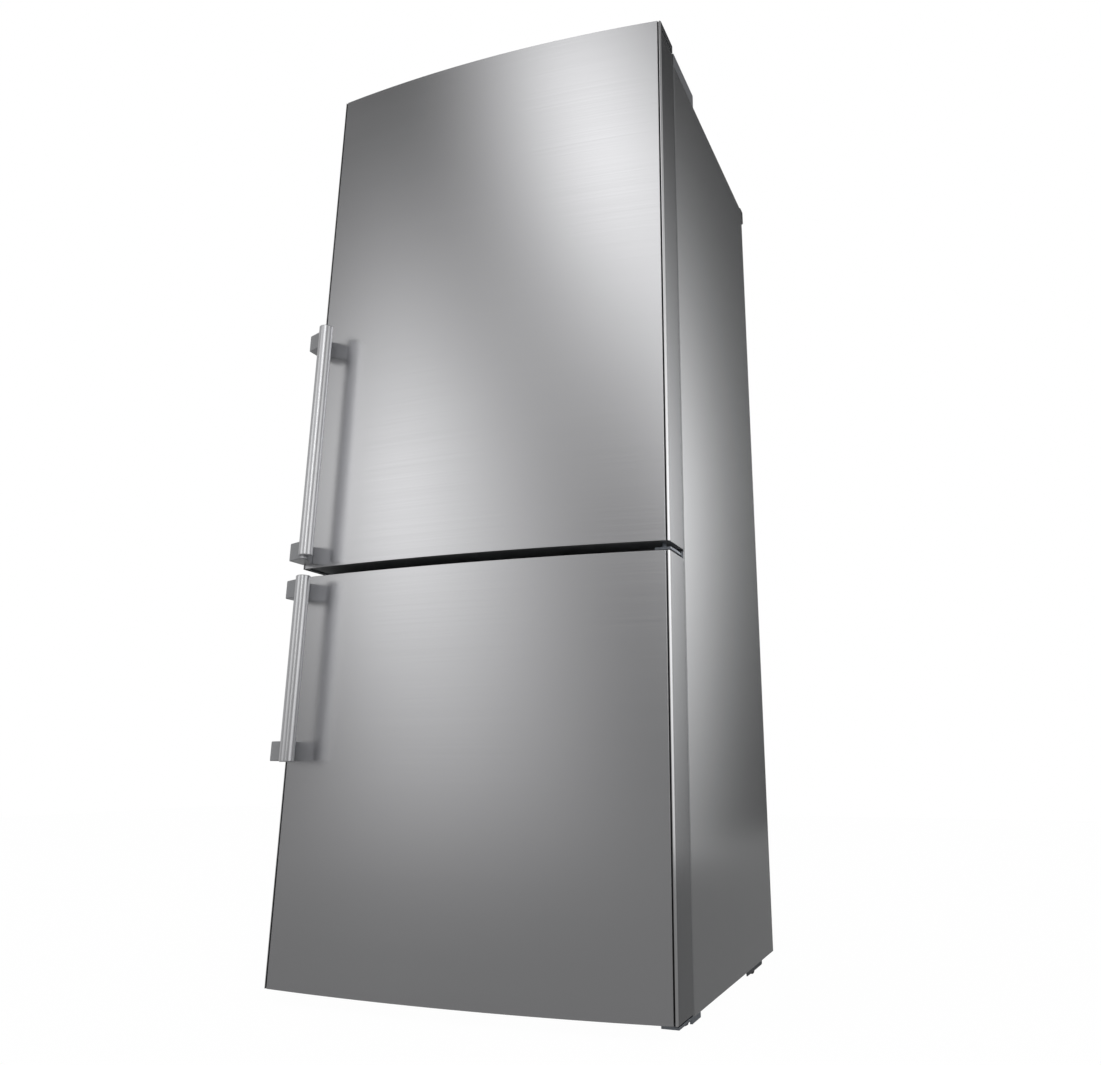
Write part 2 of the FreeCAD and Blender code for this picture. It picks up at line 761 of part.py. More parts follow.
def hinge_cover():
    """A moulded lid over the top hinge, open below and notched in front for the arm."""
    x = ("half_width - hinge_cover_width", "half_width")
    y = ("cab_front - seat", "cab_front + hinge_cover_depth")
    z = ("cab_top", "cab_top + hinge_cover_height")
    lid = box(x, y, z)
    inside = box(
        (f"{x[0]} + hinge_cover_wall", f"{x[1]} - hinge_cover_wall"),
        (f"{y[0]} + hinge_cover_wall", f"{y[1]} - hinge_cover_wall"),
        (f"{z[0]} - overrun", f"{z[1]} - hinge_cover_wall"),
    )
    notch = box(
        ("hinge_x - hinge_nose - seat", "hinge_x + hinge_nose + seat"),
        (f"{y[0]} - overrun", f"{y[0]} + overrun"),
        ("arm_low - arm_slack", "arm_top + arm_slack"),
    )
    return cut(lid, inside, notch, label="hinge_cover")


# Doors: a bowed skin, end caps, foam, a moulded liner and a gasket.

def bowed_slab(inset, back, span_z):
    """A block whose front is bowed, with its front and sides drawn in by the inset."""
    block = box(across(f"half_width - {inset}"), ("face - door_bow - overrun", back), span_z)
    low, high = span_z
    bow = rod("Z", ("0", "bow_centre", low), f"bow_radius - {inset}", f"({high}) - ({low})")
    return common(block, bow)


def arm_slot():
    """Room in the door for the top hinge's arm, from the pin out to the side and the back."""
    low = "arm_low - arm_slack"
    height = "arm_plate + 2 * arm_slack"
    sweep = rod("Z", ("hinge_x", "hinge_y", low), "hinge_nose + seat", height)
    z = (low, f"{low} + {height}")
    side = box(
        ("hinge_x - hinge_nose - seat", "half_width + overrun"),
        ("hinge_y", "door_back + overrun"),
        z,
    )
    corner = box(
        ("hinge_x - hinge_nose / 2", "half_width + overrun"),
        ("hinge_y - arm_sweep_reach", "door_back + overrun"),
        z,
    )
    return fuse(sweep, side, corner)


def door_skin(name, low, high):
    """Stainless sheet: bowed front, straight sides and a narrow return behind each side."""
    ends = (f"{low} - overrun", f"{high} + overrun")
    outer = bowed_slab("0", "door_back", (low, high))
    inner = bowed_slab("skin_sheet", "skin_back", ends)
    window = box(across("half_width - skin_return"), ("face", "door_back + overrun"), ends)
    tools = [inner, window, arm_slot()] if name == "upper" else [inner, window]
    return cut(outer, *tools, label=name + "_door_skin")


def cap_span(name, low, high, end):
    top_height = "top_cap_height" if name == "upper" else "cap_height"
    return (low, f"{low} + cap_height") if end == "bottom" else (f"{high} - {top_height}", high)


def door_caps(name, low, high):
    """Moulded plugs that close the door's ends and hold its hinge bores."""
    caps = []
    for end in ("bottom", "top"):
        span_z = cap_span(name, low, high, end)
        bore_low = f"{low} - overrun" if end == "bottom" else f"{high} - top_cap_height"
        bore = rod("Z", ("hinge_x", "hinge_y", bore_low), "hinge_pin_radius + running_fit",
                   "overrun + hinge_pin_depth + seat")
        if end == "top" and name == "lower":
            bore = rod("Z", ("hinge_x", "hinge_y", f"{high} - hinge_pin_depth - seat"),
                       "hinge_pin_radius + running_fit", "hinge_pin_depth + seat + overrun")
        if end == "top" and name == "upper":
            bore = rod("Z", ("hinge_x", "hinge_y", "arm_low - hinge_pin_depth - seat"),
                       "hinge_pin_radius + running_fit", "hinge_pin_depth + seat + arm_plate")
        tools = [bore, arm_slot()] if end == "top" and name == "upper" else [bore]
        caps.append(cut(bowed_slab("skin_sheet", "skin_back", span_z), *tools))
    return group(*caps, label=name + "_door_caps")


def door_inside_span(name, low, high):
    return cap_span(name, low, high, "bottom")[1], cap_span(name, low, high, "top")[0]


def dyke_core(half, floor, ceiling):
    """What the dyke holds: the ring's half widths outside and inside, its span and its bars' height."""
    outer = f"{half} - dyke_clearance - door_liner_sheet"
    inner = f"{half} - dyke_clearance - dyke_width + door_liner_sheet"
    span_z = (
        f"{floor} + dyke_clearance + door_liner_sheet",
        f"{ceiling} - dyke_clearance - door_liner_sheet",
    )
    return outer, inner, span_z, "dyke_width - 2 * door_liner_sheet"


def door_foam(name, low, high, half, floor, ceiling):
    """The bowed slab, and four bars that fill the liner's dyke."""
    slab = bowed_slab("skin_sheet", "skin_back - door_liner_sheet", door_inside_span(name, low, high))
    outer, inner, span_z, thick = dyke_core(half, floor, ceiling)
    bottom, top = span_z
    y = ("skin_back - door_liner_sheet + foam_joint", "skin_back + dyke_depth - door_liner_sheet")
    bars = [box(on_side(side, inner, outer), y, span_z) for side in ("left", "right")]
    bars.append(box(across(f"{inner} - foam_joint"), y, (bottom, f"{bottom} + {thick}")))
    bars.append(box(across(f"{inner} - foam_joint"), y, (f"{top} - ({thick})", top)))
    return group(slab, *bars, label=name + "_door_foam")


def door_liner(name, low, high, half, floor, ceiling):
    """The formed inner sheet. Its hollow dyke reaches into the cabinet's room."""
    back = box(across("half_width - skin_sheet"), ("skin_back - door_liner_sheet", "skin_back"),
               door_inside_span(name, low, high))
    reach = ("skin_back - door_liner_sheet", "skin_back + dyke_depth")
    dyke = box(across(f"{half} - dyke_clearance"), reach,
               (f"{floor} + dyke_clearance", f"{ceiling} - dyke_clearance"))
    well = box(
        across(f"{half} - dyke_clearance - dyke_width"),
        ("skin_back", "skin_back + dyke_depth + overrun"),
        (f"{floor} + dyke_clearance + dyke_width", f"{ceiling} - dyke_clearance - dyke_width"),
    )
    outer, inner, span_z, thick = dyke_core(half, floor, ceiling)
    bottom, top = span_z
    hollow_y = ("skin_back - door_liner_sheet - overrun", "skin_back + dyke_depth - door_liner_sheet")
    island_y = (f"{hollow_y[0]} - overrun", f"{hollow_y[1]} + overrun")
    island = box(across(inner), island_y, (f"{bottom} + {thick}", f"{top} - ({thick})"))
    hollow = cut(box(across(outer), hollow_y, span_z), island)
    return cut(fuse(back, dyke), well, hollow, label=name + "_door_liner")


def door_gasket(name, low, high):
    """A closed magnetic seal between the door's liner and the cabinet's front."""
    y = ("skin_back", "cab_front - seat")
    bottom = f"{low} + gasket_end_inset" if name == "upper" else f"{low} + gasket_bottom_inset"
    top = "cab_top - gasket_top_inset" if name == "upper" else f"{high} - gasket_end_inset"
    ring = box(across("half_width - gasket_side_inset"), y, (bottom, top))
    hole = box(
        across("half_width - gasket_side_inset - gasket_width"),
        (f"{y[0]} - overrun", f"{y[1]} + overrun"),
        (f"{bottom} + gasket_width", f"{top} - gasket_width"),
    )
    return cut(ring, hole, label=name + "_door_gasket")


def handle_bar(name, low):
    start = ("bar_x", "bar_y", f"{low} + {name}_bar_low")
    return rod("Z", start, "handle_bar_radius", f"{name}_bar_length", name + "_handle_bar")


def handle_mounts(name, low):
    """Two slanted blocks that hold the bar off the door, flush with the door's left side."""
    left = "-half_width"
    points = [
        (left, "face + overrun"),
        (left, "face - mount_side_reach"),
        ("mount_front_width - half_width", "face - mount_front_reach"),
        ("bar_x", "face - mount_front_reach"),
        ("bar_x", "bar_y + handle_bar_radius / 2"),
        ("mount_width - half_width", "face + overrun"),
    ]
    mounts = []
    for rise in ("mount_low", "mount_high"):
        bottom = f"{low} + {name}_{rise}"
        top = f"{bottom} + mount_height"
        block = prism("XY", (bottom, top), points)
        bar = rod("Z", ("bar_x", "bar_y", f"{bottom} - overrun"),
                  "handle_bar_radius + running_fit", "mount_height + 2 * overrun")
        door = rod("Z", ("0", "bow_centre", f"{bottom} - overrun"),
                   "bow_radius + running_fit", "mount_height + 2 * overrun")
        mounts.append(cut(block, bar, door))
    return group(*mounts, label=name + "_handle_mounts")


def door(name, low, high, half, floor, ceiling):
    return [
        door_skin(name, low, high),
        door_caps(name, low, high),
        door_foam(name, low, high, half, floor, ceiling),
        door_liner(name, low, high, half, floor, ceiling),
        door_gasket(name, low, high),
        handle_bar(name, low),
        handle_mounts(name, low),
    ]


# Racks on the upper door.

def bin_x():
    return across("fridge_half - dyke_clearance - dyke_width - seat")


def door_bin(name):
    z = (f"fridge_floor + {name}_rise", f"fridge_floor + {name}_rise + {name}_height")
    y = ("skin_back + seat", "skin_back + seat + bin_depth")
    return tray(bin_x(), y, z, "bin_wall", "bin_wall", "door_" + name)


def dairy_box():
    """A lidded rack: full side walls with bores for the flap's pins, and a low lip behind."""
    x = bin_x()
    y = ("skin_back + seat", "skin_back + seat + bin_depth")
    z = ("fridge_floor + dairy_rise", "fridge_floor + dairy_rise + dairy_height")
    block = box(x, y, z)
    wall = "bin_wall"
    inside_x = (f"{x[0]} + {wall}", f"{x[1]} - {wall}")
    inside_y = (f"{y[0]} + {wall}", f"{y[1]} - {wall}")
    mouth_y = (f"{y[1]} - {wall} - overrun", f"{y[1]} + overrun")
    inside = box(inside_x, inside_y, (f"{z[0]} + {wall}", f"{z[1]} + overrun"))
    mouth = box(inside_x, mouth_y, (f"{z[0]} + dairy_lip", f"{z[1]} + overrun"))
    bores = rod("X", (x[0] + " - overrun", "flap_axis_y", "flap_axis_z"),
                "flap_pin_radius + running_fit", f"({x[1]}) - ({x[0]}) + 2 * overrun")
    return cut(block, inside, mouth, bores, label="dairy_box")


def dairy_flap():
    """A clear flap on two small pins that lifts away from the rack."""
    x = bin_x()
    plate_x = (f"{x[0]} + bin_wall + seat", f"{x[1]} - bin_wall - seat")
    plate = box(plate_x, ("flap_axis_y - flap_thickness / 2", "flap_axis_y + flap_thickness / 2"),
                ("flap_axis_z - flap_height", "flap_axis_z"))
    start = f"{plate_x[0]} - flap_pin_length"
    pins = rod("X", (start, "flap_axis_y", "flap_axis_z"),
               "flap_pin_radius", f"({plate_x[1]}) - ({plate_x[0]}) + 2 * flap_pin_length")
    return fuse(plate, pins, label="dairy_flap")


# Fridge room.

def fridge_shelves():
    y = ("shelf_front + shelf_trim_depth - shelf_trim_bite", "shelf_back")
    x = across("fridge_half - seat")
    panes = [box(x, y, (level, f"{level} + shelf_glass")) for level in fridge_levels()]
    return group(*panes, label="fridge_shelves")


def shelf_trims():
    """Front edges of the glass shelves, each with a groove that grips its pane."""
    trims = []
    for level in fridge_levels():
        low = f"{level} - shelf_trim_drop"
        bar = box(across("fridge_half - seat"), ("shelf_front", "shelf_front + shelf_trim_depth"),
                  (low, f"{low} + shelf_trim_height"))
        groove = box(across("fridge_half + overrun"),
                     ("shelf_front + shelf_trim_depth - shelf_trim_bite - glass_fit",
                      "shelf_front + shelf_trim_depth + overrun"),
                     (f"{level} - glass_fit", f"{level} + shelf_glass + glass_fit"))
        trims.append(cut(bar, groove))
    return group(*trims, label="shelf_trims")


def crisper_cover():
    z = ("crisper_level", "crisper_level + crisper_cover_height")
    return box(across("fridge_half - seat"), ("shelf_front", "inner_back - seat"), z, "crisper_cover")


def crisper(side):
    x = on_side(side, "crisper_gap", "fridge_half - crisper_side_clearance")
    y = ("shelf_front", "inner_back - crisper_back_clearance")
    z = ("fridge_floor + seat", "fridge_floor + seat + crisper_height")
    return tray(x, y, z, "crisper_wall", "crisper_front_wall", "crisper_" + side)


def air_duct():
    """The cold-air panel on the back wall, with a column of outlet slots."""
    bottom = "fridge_floor + duct_low"
    top = "fridge_top - duct_top_clearance"
    front = "inner_back - duct_depth"
    body = prism("XY", (bottom, top), rectangle(across("duct_width / 2"), (front, "inner_back")), "air_duct")
    first = f"{bottom} + duct_slot_rise"
    slot = outline(body, "XZ", f"-({front})", rectangle(
        across("duct_slot_width / 2"), (first, f"{first} + duct_slot_height")))
    pocket = body.newObject("PartDesign::Pocket", "Slot")
    pocket.Profile = slot
    bind(pocket, Length="duct_slot_depth")
    rows = body.newObject("PartDesign::LinearPattern", "SlotRows")
    rows.Originals = [pocket]
    rows.Direction = (slot, ["V_Axis"])
    rows.Occurrences = DUCT_SLOTS
    bind(rows, Length="duct_slot_spread")
    body.Tip = rows
    return body


def button_well(centre, top):
    half_x = "(button_width / 2 + seat)"
    half_y = "(button_depth / 2 + seat)"
    middle = "panel_front + panel_depth / 2"
    x = (f"{centre} - {half_x}", f"{centre} + {half_x}")
    y = (f"{middle} - {half_y}", f"{middle} + {half_y}")
    return box(x, y, ("panel_low - overrun", top))


def control_panel():
    """The temperature panel under the ceiling, with two wells for its buttons."""
    block = box(across("panel_width / 2"), ("panel_front", "panel_front + panel_depth"),
                ("panel_low", "fridge_top"))
    top = "panel_low - button_proud + button_height + button_travel + seat"
    wells = [button_well(centre, top) for centre in ("button_offset", "-button_offset")]
    return cut(block, *wells, label="control_panel")


def control_button(name, centre):
    middle = "panel_front + panel_depth / 2"
    low = "panel_low - button_proud"
    return box((f"{centre} - button_width / 2", f"{centre} + button_width / 2"),
               (f"{middle} - button_depth / 2", f"{middle} + button_depth / 2"),
               (low, f"{low} + button_height"), name)


def lamp_cover():
    front = "panel_front + panel_depth + lamp_gap"
    return box(across("lamp_width / 2"), (front, f"{front} + lamp_depth"),
               ("fridge_top - lamp_height", "fridge_top"), "lamp_cover")


# Freezer room.

def freezer_drawer(name, floor, bay, back):
    x = across("freezer_half - drawer_side_clearance")
    z = (f"{floor} + seat", f"{floor} + {bay} - drawer_top_clearance")
    return tray(x, ("drawer_front", back), z, "drawer_wall", "drawer_front_wall", "freezer_drawer_" + name)


def freezer_shelves():
    x = across("freezer_half - seat")
    y = ("drawer_front", "cover_front - seat")
    panes = [
        box(x, y, (level, f"{level} + shelf_glass")) for level in ("low_shelf", "mid_shelf", "top_shelf")
    ]
    return group(*panes, label="freezer_shelves")


def evaporator_cover():
    """The freezer's back panel: a slotted grille in front of the fan."""
    span_z = ("step_top", "freezer_top - seat")
    panel = box(across("freezer_half - seat"), ("cover_front", "cover_back"), span_z)
    pitch = "2 * grille_slot"
    slots = []
    for index in (-1, 0, 1):
        low = f"evaporator_fan_z + {index} * {pitch} - grille_slot / 2"
        slots.append(box(across("grille_width / 2"), ("cover_front - overrun", "cover_back + overrun"),
                         (low, f"{low} + grille_slot")))
    return cut(panel, *slots, label="evaporator_cover")


def coil(label, x, front, z, rows):
    """A tube-and-fin block: straight tube runs along X through a row of thin fins."""
    depth_places = [f"{front} + coil_depth / 4", f"{front} + 3 * coil_depth / 4"]
    low, high = z
    tubes = []
    holes = []
    for row in range(rows):
        for y in depth_places:
            height = f"{low} + {row + 0.5} * (({high}) - ({low})) / {rows}"
            length = f"({x[1]}) - ({x[0]})"
            tubes.append(rod("X", (x[0], y, height), "coil_tube_radius", length))
            holes.append(rod("X", (x[0], y, height), "coil_tube_radius + running_fit", length))
    fins = []
    count = int(value(f"(({x[1]}) - ({x[0]})) / coil_fin_pitch"))
    for index in range(1, count):
        place = f"{x[0]} + {index} * coil_fin_pitch"
        fins.append(box((place, f"{place} + coil_fin"), (front, f"{front} + coil_depth"), (low, high)))
    drilled = cut(group(*fins), *holes)
    return group(*tubes, drilled, label=label)


def fan(label, axis, x, y, z):
    """A moulded fan: a bored hub and pitched blades in a polar pattern."""
    body = doc.addObject("PartDesign::Body", label)
    hub = body.newObject("Sketcher::SketchObject", "HubCircle")
    plane = [item for item in body.Origin.OriginFeatures if item.Role == "XY_Plane"][0]
    hub.AttachmentSupport = [(plane, "")]
    hub.MapMode = "FlatFace"
    middle, upright = FreeCAD.Vector(0, 0, 0), FreeCAD.Vector(0, 0, 1)
    for radius in ("fan_hub_radius", "fan_shaft_radius + running_fit"):
        circle = hub.addGeometry(Part.Circle(middle, upright, value(radius)))
        hub.addConstraint(Sketcher.Constraint("Coincident", circle, 3, -1, 1))
        row = hub.addConstraint(Sketcher.Constraint("Radius", circle, value(radius)))
        hub.setExpression(f"Constraints[{row}]", expand(radius))
    pad = body.newObject("PartDesign::Pad", "Hub")
    pad.Profile = hub
    bind(pad, Length="fan_hub_length")
    chord = "fan_blade_chord / 2"
    inside = "fan_hub_radius - fan_blade"
    section = outline(body, "YZ", inside, [
        (f"-{chord}", "fan_blade"),
        (f"-{chord} + 2 * fan_blade", "fan_blade"),
        (chord, "fan_hub_length - fan_blade"),
        (f"{chord} - 2 * fan_blade", "fan_hub_length - fan_blade"),
    ])
    blade = body.newObject("PartDesign::Pad", "Blade")
    blade.Profile = section
    bind(blade, Length=f"fan_radius - ({inside})")
    ring = body.newObject("PartDesign::PolarPattern", "Blades")
    ring.Originals = [blade]
    ring.Axis = (hub, ["N_Axis"])
    ring.Angle = 360
    ring.Occurrences = FAN_BLADES
    body.Tip = ring
    body.Placement.Rotation = TURNS[axis]
    return bind(body, x=x, y=y, z=z)


def fan_motors():
    """Both fan motors: one against the freezer's back wall, one on a post in the machine room."""
    motor = ("fan_motor_radius", "fan_motor_length")
    motor_y = "inner_back - fan_motor_length"
    cold = fuse(
        rod("Y", ("0", motor_y, "evaporator_fan_z"), *motor),
        rod("Y", ("0", f"{motor_y} - fan_shaft_length", "evaporator_fan_z"),
            "fan_shaft_radius", "fan_shaft_length"),
    )
    motor_x = "condenser_fan_x + fan_hub_length + fan_blade"
    post_x = f"{motor_x} + fan_blade"
    warm = fuse(
        rod("X", (motor_x, "compressor_y", "condenser_fan_z"), *motor),
        rod("X", ("condenser_fan_x", "compressor_y", "condenser_fan_z"),
            "fan_shaft_radius", "fan_hub_length + fan_blade"),
        box((post_x, f"{post_x} + fan_post_width"),
            ("compressor_y - fan_post_width / 2", "compressor_y + fan_post_width / 2"),
            ("base_top", "condenser_fan_z")),
    )
    return group(cold, warm, label="fan_motors")


def ice_frame():
    """A plate under the freezer's ceiling with two ends that carry the twisting tray."""
    half = "ice_frame_width / 2"
    z = ("freezer_top - ice_plate", "freezer_top")
    end_z = ("ice_axis_z - 2 * ice_axle_radius", "freezer_top")
    ends = [
        ("ice_front", "ice_front + ice_plate"),
        ("ice_front + ice_frame_length - ice_plate", "ice_front + ice_frame_length"),
    ]
    plate = box(across(half), ("ice_front", "ice_front + ice_frame_length"), z)
    walls = [box(across("2 * ice_axle_radius"), y, end_z) for y in ends]
    bore = rod("Y", ("0", "ice_front - overrun", "ice_axis_z"),
               "ice_axle_radius + running_fit", "ice_frame_length + 2 * overrun")
    return cut(fuse(plate, *walls), bore, label="ice_frame")


def ice_tray():
    """A cube tray on two stub axles, with the twist knob in front of its frame."""
    half = "ice_tray_width / 2"
    y = ("ice_front + ice_plate + roller_slack", "ice_front + ice_frame_length - ice_plate - roller_slack")
    z = ("ice_axis_z - ice_tray_height / 2", "ice_axis_z + ice_tray_height / 2")
    block = box(across(half), y, z)
    wall = "ice_tray_wall"
    middle = f"(({y[0]}) + ({y[1]})) / 2"
    cells = []
    for side in ("left", "right"):
        x = on_side(side, f"{wall} / 2", f"{half} - {wall}")
        for low, high in ((f"{y[0]} + ice_axle_radius", f"{middle} - {wall} / 2"),
                          (f"{middle} + {wall} / 2", f"{y[1]} - ice_axle_radius")):
            cells.append(box(x, (low, high), (f"{z[0]} + {wall}", f"{z[1]} + overrun")))
    front_axle = rod("Y", ("0", "ice_front - roller_slack", "ice_axis_z"),
                     "ice_axle_radius", "ice_plate + 2 * roller_slack + ice_tray_wall")
    rear_axle = rod("Y", ("0", f"{y[1]} - {wall}", "ice_axis_z"),
                    "ice_axle_radius", "ice_plate + roller_slack + ice_tray_wall")
    knob = rod("Y", ("0", "ice_front - roller_slack - ice_knob_length", "ice_axis_z"),
               "ice_knob_radius", "ice_knob_length")
    return fuse(cut(block, *cells), front_axle, rear_axle, knob, label="ice_tray")


# Machine room.

def compressor():
    """A welded steel can, turned, on a pressed foot plate."""
    body = doc.addObject("PartDesign::Body", "Can")
    low = "compressor_foot_sheet + compressor_skirt"
    shoulder = "compressor_height - compressor_dome"
    profile = outline(body, "XZ", "0", [
        ("0", "compressor_foot_sheet"),
        ("compressor_radius - compressor_skirt", "compressor_foot_sheet"),
        ("compressor_radius", low),
        ("compressor_radius", shoulder),
        ("compressor_radius - compressor_skirt", "compressor_height - compressor_skirt / 2"),
        ("compressor_radius / 2", "compressor_height"),
        ("0", "compressor_height"),
    ])
    turned = body.newObject("PartDesign::Revolution", "Turned")
    turned.Profile = profile
    turned.ReferenceAxis = (profile, ["V_Axis"])
    turned.Angle = 360
    bind(body, x="compressor_offset", y="compressor_y", z="base_top")
    foot = box(
        ("compressor_offset - compressor_foot_width / 2", "compressor_offset + compressor_foot_width / 2"),
        ("compressor_y - compressor_foot_depth / 2", "compressor_y + compressor_foot_depth / 2"),
        ("base_top", "base_top + compressor_foot_sheet"),
    )
    return fuse(body, foot, label="compressor")


def inlet_place():
    return "half_width - inlet_inset", "base_level + inlet_rise"


def machine_cover():
    """The rear cover: a sheet with upright vents and a hole for the power inlet."""
    y = ("cab_back - machine_cover_sheet", "cab_back")
    plate = box(across("inside_shell"), y, ("base_level", "machine_top"))
    middle = "(base_level + machine_top) / 2"
    vents = []
    for index in range(VENTS):
        x = f"vent_pitch * {index - (VENTS - 1) / 2}"
        vents.append(box(
            (f"{x} - vent_width / 2", f"{x} + vent_width / 2"),
            (f"{y[0]} - overrun", f"{y[1]} + overrun"),
            (f"{middle} - vent_height / 2", f"{middle} + vent_height / 2"),
        ))
    x, z = inlet_place()
    hole = rod("Y", (x, f"{y[0]} - overrun", z),
               "inlet_radius + running_fit", "machine_cover_sheet + 2 * overrun")
    return cut(plate, *vents, hole, label="machine_cover")


def power_inlet():
    """The bush in the rear cover that the supply lead would pass through."""
    x, z = inlet_place()
    start = "cab_back - inlet_length"
    neck = rod("Y", (x, start, z), "inlet_radius", "inlet_length")
    flange = rod("Y", (x, "cab_back", z), "inlet_radius + liner_sheet", "liner_sheet")
    bore = rod("Y", (x, f"{start} - overrun", z),
               "inlet_bore_radius", "inlet_length + liner_sheet + 2 * overrun")
    return cut(fuse(neck, flange), bore, label="power_inlet")


def build():
    """Every node of the assembly, cabinet first and doors last."""
    cabinet = [cabinet_shell(), back_panel(), cabinet_foam()]
    cabinet += [fridge_liner(), freezer_liner(), mullion_trim()]
    base = [base_frame(), bottom_hinge(), rear_spacers()]
    base += [make(side) for make in (front_foot, rear_roller) for side in ("left", "right")]
    hinges = [middle_hinge(), top_hinge(), hinge_cover(), hinge_screws()]
    fridge = [fridge_shelves(), shelf_trims(), crisper_cover()]
    fridge += [crisper("left"), crisper("right"), air_duct()]
    fridge += [control_panel(), control_button("fridge_button", "button_offset")]
    fridge += [control_button("freezer_button", "-button_offset"), lamp_cover()]
    room_back = "cover_front - drawer_back_clearance"
    glass = "shelf_glass"
    cold_fan_y = "inner_back - fan_motor_length - fan_hub_length - fan_blade"
    freezer = [
        freezer_drawer("low", "freezer_floor", "low_bay", "step_front - drawer_back_clearance"),
        freezer_drawer("mid", f"low_shelf + {glass}", f"mid_bay - {glass}", room_back),
        freezer_drawer("top", f"mid_shelf + {glass}", f"top_bay - {glass}", room_back),
        freezer_shelves(),
        evaporator_cover(),
        coil("evaporator", across("evaporator_width / 2"), "inner_back - coil_depth - seat",
             ("evaporator_low", "evaporator_high"), EVAPORATOR_ROWS),
        fan("evaporator_fan", "Y", "0", cold_fan_y, "evaporator_fan_z"),
        fan_motors(),
        ice_frame(),
        ice_tray(),
    ]
    condenser_left = "condenser_inset - inside_shell"
    machine = [
        compressor(),
        coil("condenser", (condenser_left, "condenser_right"), "compressor_y - coil_depth / 2",
             ("base_top", "base_top + condenser_height"), CONDENSER_ROWS),
        fan("condenser_fan", "X", "condenser_fan_x", "compressor_y", "condenser_fan_z"),
        machine_cover(),
        power_inlet(),
    ]
    upper = door("upper", "upper_bottom", "upper_top", "fridge_half", "fridge_floor", "fridge_top")
    upper += [door_bin("bin_low"), door_bin("bin_mid"), dairy_box(), dairy_flap()]
    lower = door("lower", "lower_bottom", "lower_top", "freezer_half", "freezer_floor", "freezer_top")
    return cabinet + base + hinges + fridge + freezer + machine + upper + lower


def check(nodes):
    """Stop when a feature failed, a pocket cut nothing or a node is not a sound solid."""
    for thing in doc.Objects:
        if "Invalid" in thing.State or "Error" in thing.State:
            raise RuntimeError(f"{thing.Label} did not build: {thing.State}")
        if thing.TypeId == "PartDesign::Pocket" and thing.Shape.Volume >= thing.BaseFeature.Shape.Volume:
            raise RuntimeError(f"{thing.Label} cuts nothing")
    for node in nodes:
        if node.Shape.isNull() or not node.Shape.isValid() or not node.Shape.Solids:
            raise RuntimeError(f"{node.Label} is not a valid solid")


nodes = build()
doc.recompute()
check(nodes)
os.makedirs("parts", exist_ok=True)
for node in nodes:
    node.Shape.exportStep(f"parts/{node.Label}.step")
    print(f"{node.Label}: {len(node.Shape.Solids)} solids, {node.Shape.Volume / 1000:.1f} cm3")
print(len(nodes), "nodes")
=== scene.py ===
# %% [markdown]
# # A fridge freezer, dressed for its portrait
#
# The construction model already says where every piece sits and how it moves. This lesson
# gives each piece the surface that a maker would give it: brushed stainless doors, a grey
# lacquered cabinet, moulded liners, glass shelves, and the machinery behind.
# We first load the construction model as a fixed frame, and note how large it is.

import math

import bmesh
import bpy
from mathutils import Matrix, Vector


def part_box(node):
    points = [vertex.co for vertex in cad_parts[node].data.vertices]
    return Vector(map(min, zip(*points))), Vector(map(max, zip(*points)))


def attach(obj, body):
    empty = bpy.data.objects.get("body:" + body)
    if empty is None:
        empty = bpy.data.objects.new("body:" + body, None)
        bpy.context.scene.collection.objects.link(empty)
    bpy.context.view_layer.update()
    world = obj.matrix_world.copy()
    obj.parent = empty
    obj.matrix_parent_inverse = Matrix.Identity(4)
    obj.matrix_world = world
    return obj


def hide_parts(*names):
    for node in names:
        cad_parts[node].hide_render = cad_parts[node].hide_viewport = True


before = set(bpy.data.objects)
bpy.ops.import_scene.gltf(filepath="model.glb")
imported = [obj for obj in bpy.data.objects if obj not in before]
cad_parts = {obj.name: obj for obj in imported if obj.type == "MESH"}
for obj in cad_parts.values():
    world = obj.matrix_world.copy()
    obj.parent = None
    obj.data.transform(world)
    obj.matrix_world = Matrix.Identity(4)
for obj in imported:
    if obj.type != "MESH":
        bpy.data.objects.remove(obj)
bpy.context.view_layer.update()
MM = 0.001

# %% [markdown]
# ## Where the doors and the cabinet are
#
# Both doors are bowed sheets: seen from above, the front is a shallow arc that falls back at
# its two ends. One radius serves both doors, so it is worked out once from the arc's rise.

# %% Read the main places
skin_low, skin_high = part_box("upper_door_skin")
lower_low, lower_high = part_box("lower_door_skin")
shell_low, shell_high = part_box("cabinet_shell")
HALF = skin_high.x
BOW = 22.3 * MM
FACE = skin_low.y + BOW
BOW_RADIUS = (HALF ** 2 + BOW ** 2) / (2 * BOW)


def bow_y(x):
    """Depth of the bowed front at a distance from the middle."""
    return skin_low.y + BOW_RADIUS - math.sqrt(BOW_RADIUS ** 2 - x ** 2)


print("door corners at y =", round(FACE, 4), "and the bow's radius is", round(BOW_RADIUS, 3), "m")

# %% [markdown]
# ## A small kit for nodes
#
# Hex colours are easy to read from a swatch, but Blender mixes light in linear values, so one
# function turns them. Trees of nodes grow long when each link takes a line of its own, so a
# second function adds a node with its settings and its links in one call.

# %% Colour and node helpers


def colour(text):
    """An sRGB hex value as a linear colour."""
    parts = [int(text[start:start + 2], 16) / 255 for start in (1, 3, 5)]
    return [p / 12.92 if p <= 0.04045 else ((p + 0.055) / 1.055) ** 2.4 for p in parts] + [1.0]


def add(tree, kind, inputs=None, **settings):
    """Add one node. A socket given as an input is linked, and anything else is its value."""
    node = tree.nodes.new(kind)
    for name, given in settings.items():
        setattr(node, name, given)
    for name, given in (inputs or {}).items():
        if isinstance(given, bpy.types.NodeSocket):
            tree.links.new(given, node.inputs[name])
        else:
            node.inputs[name].default_value = given
    return node


print("a middle grey in linear light:", round(colour("#808080")[0], 3))

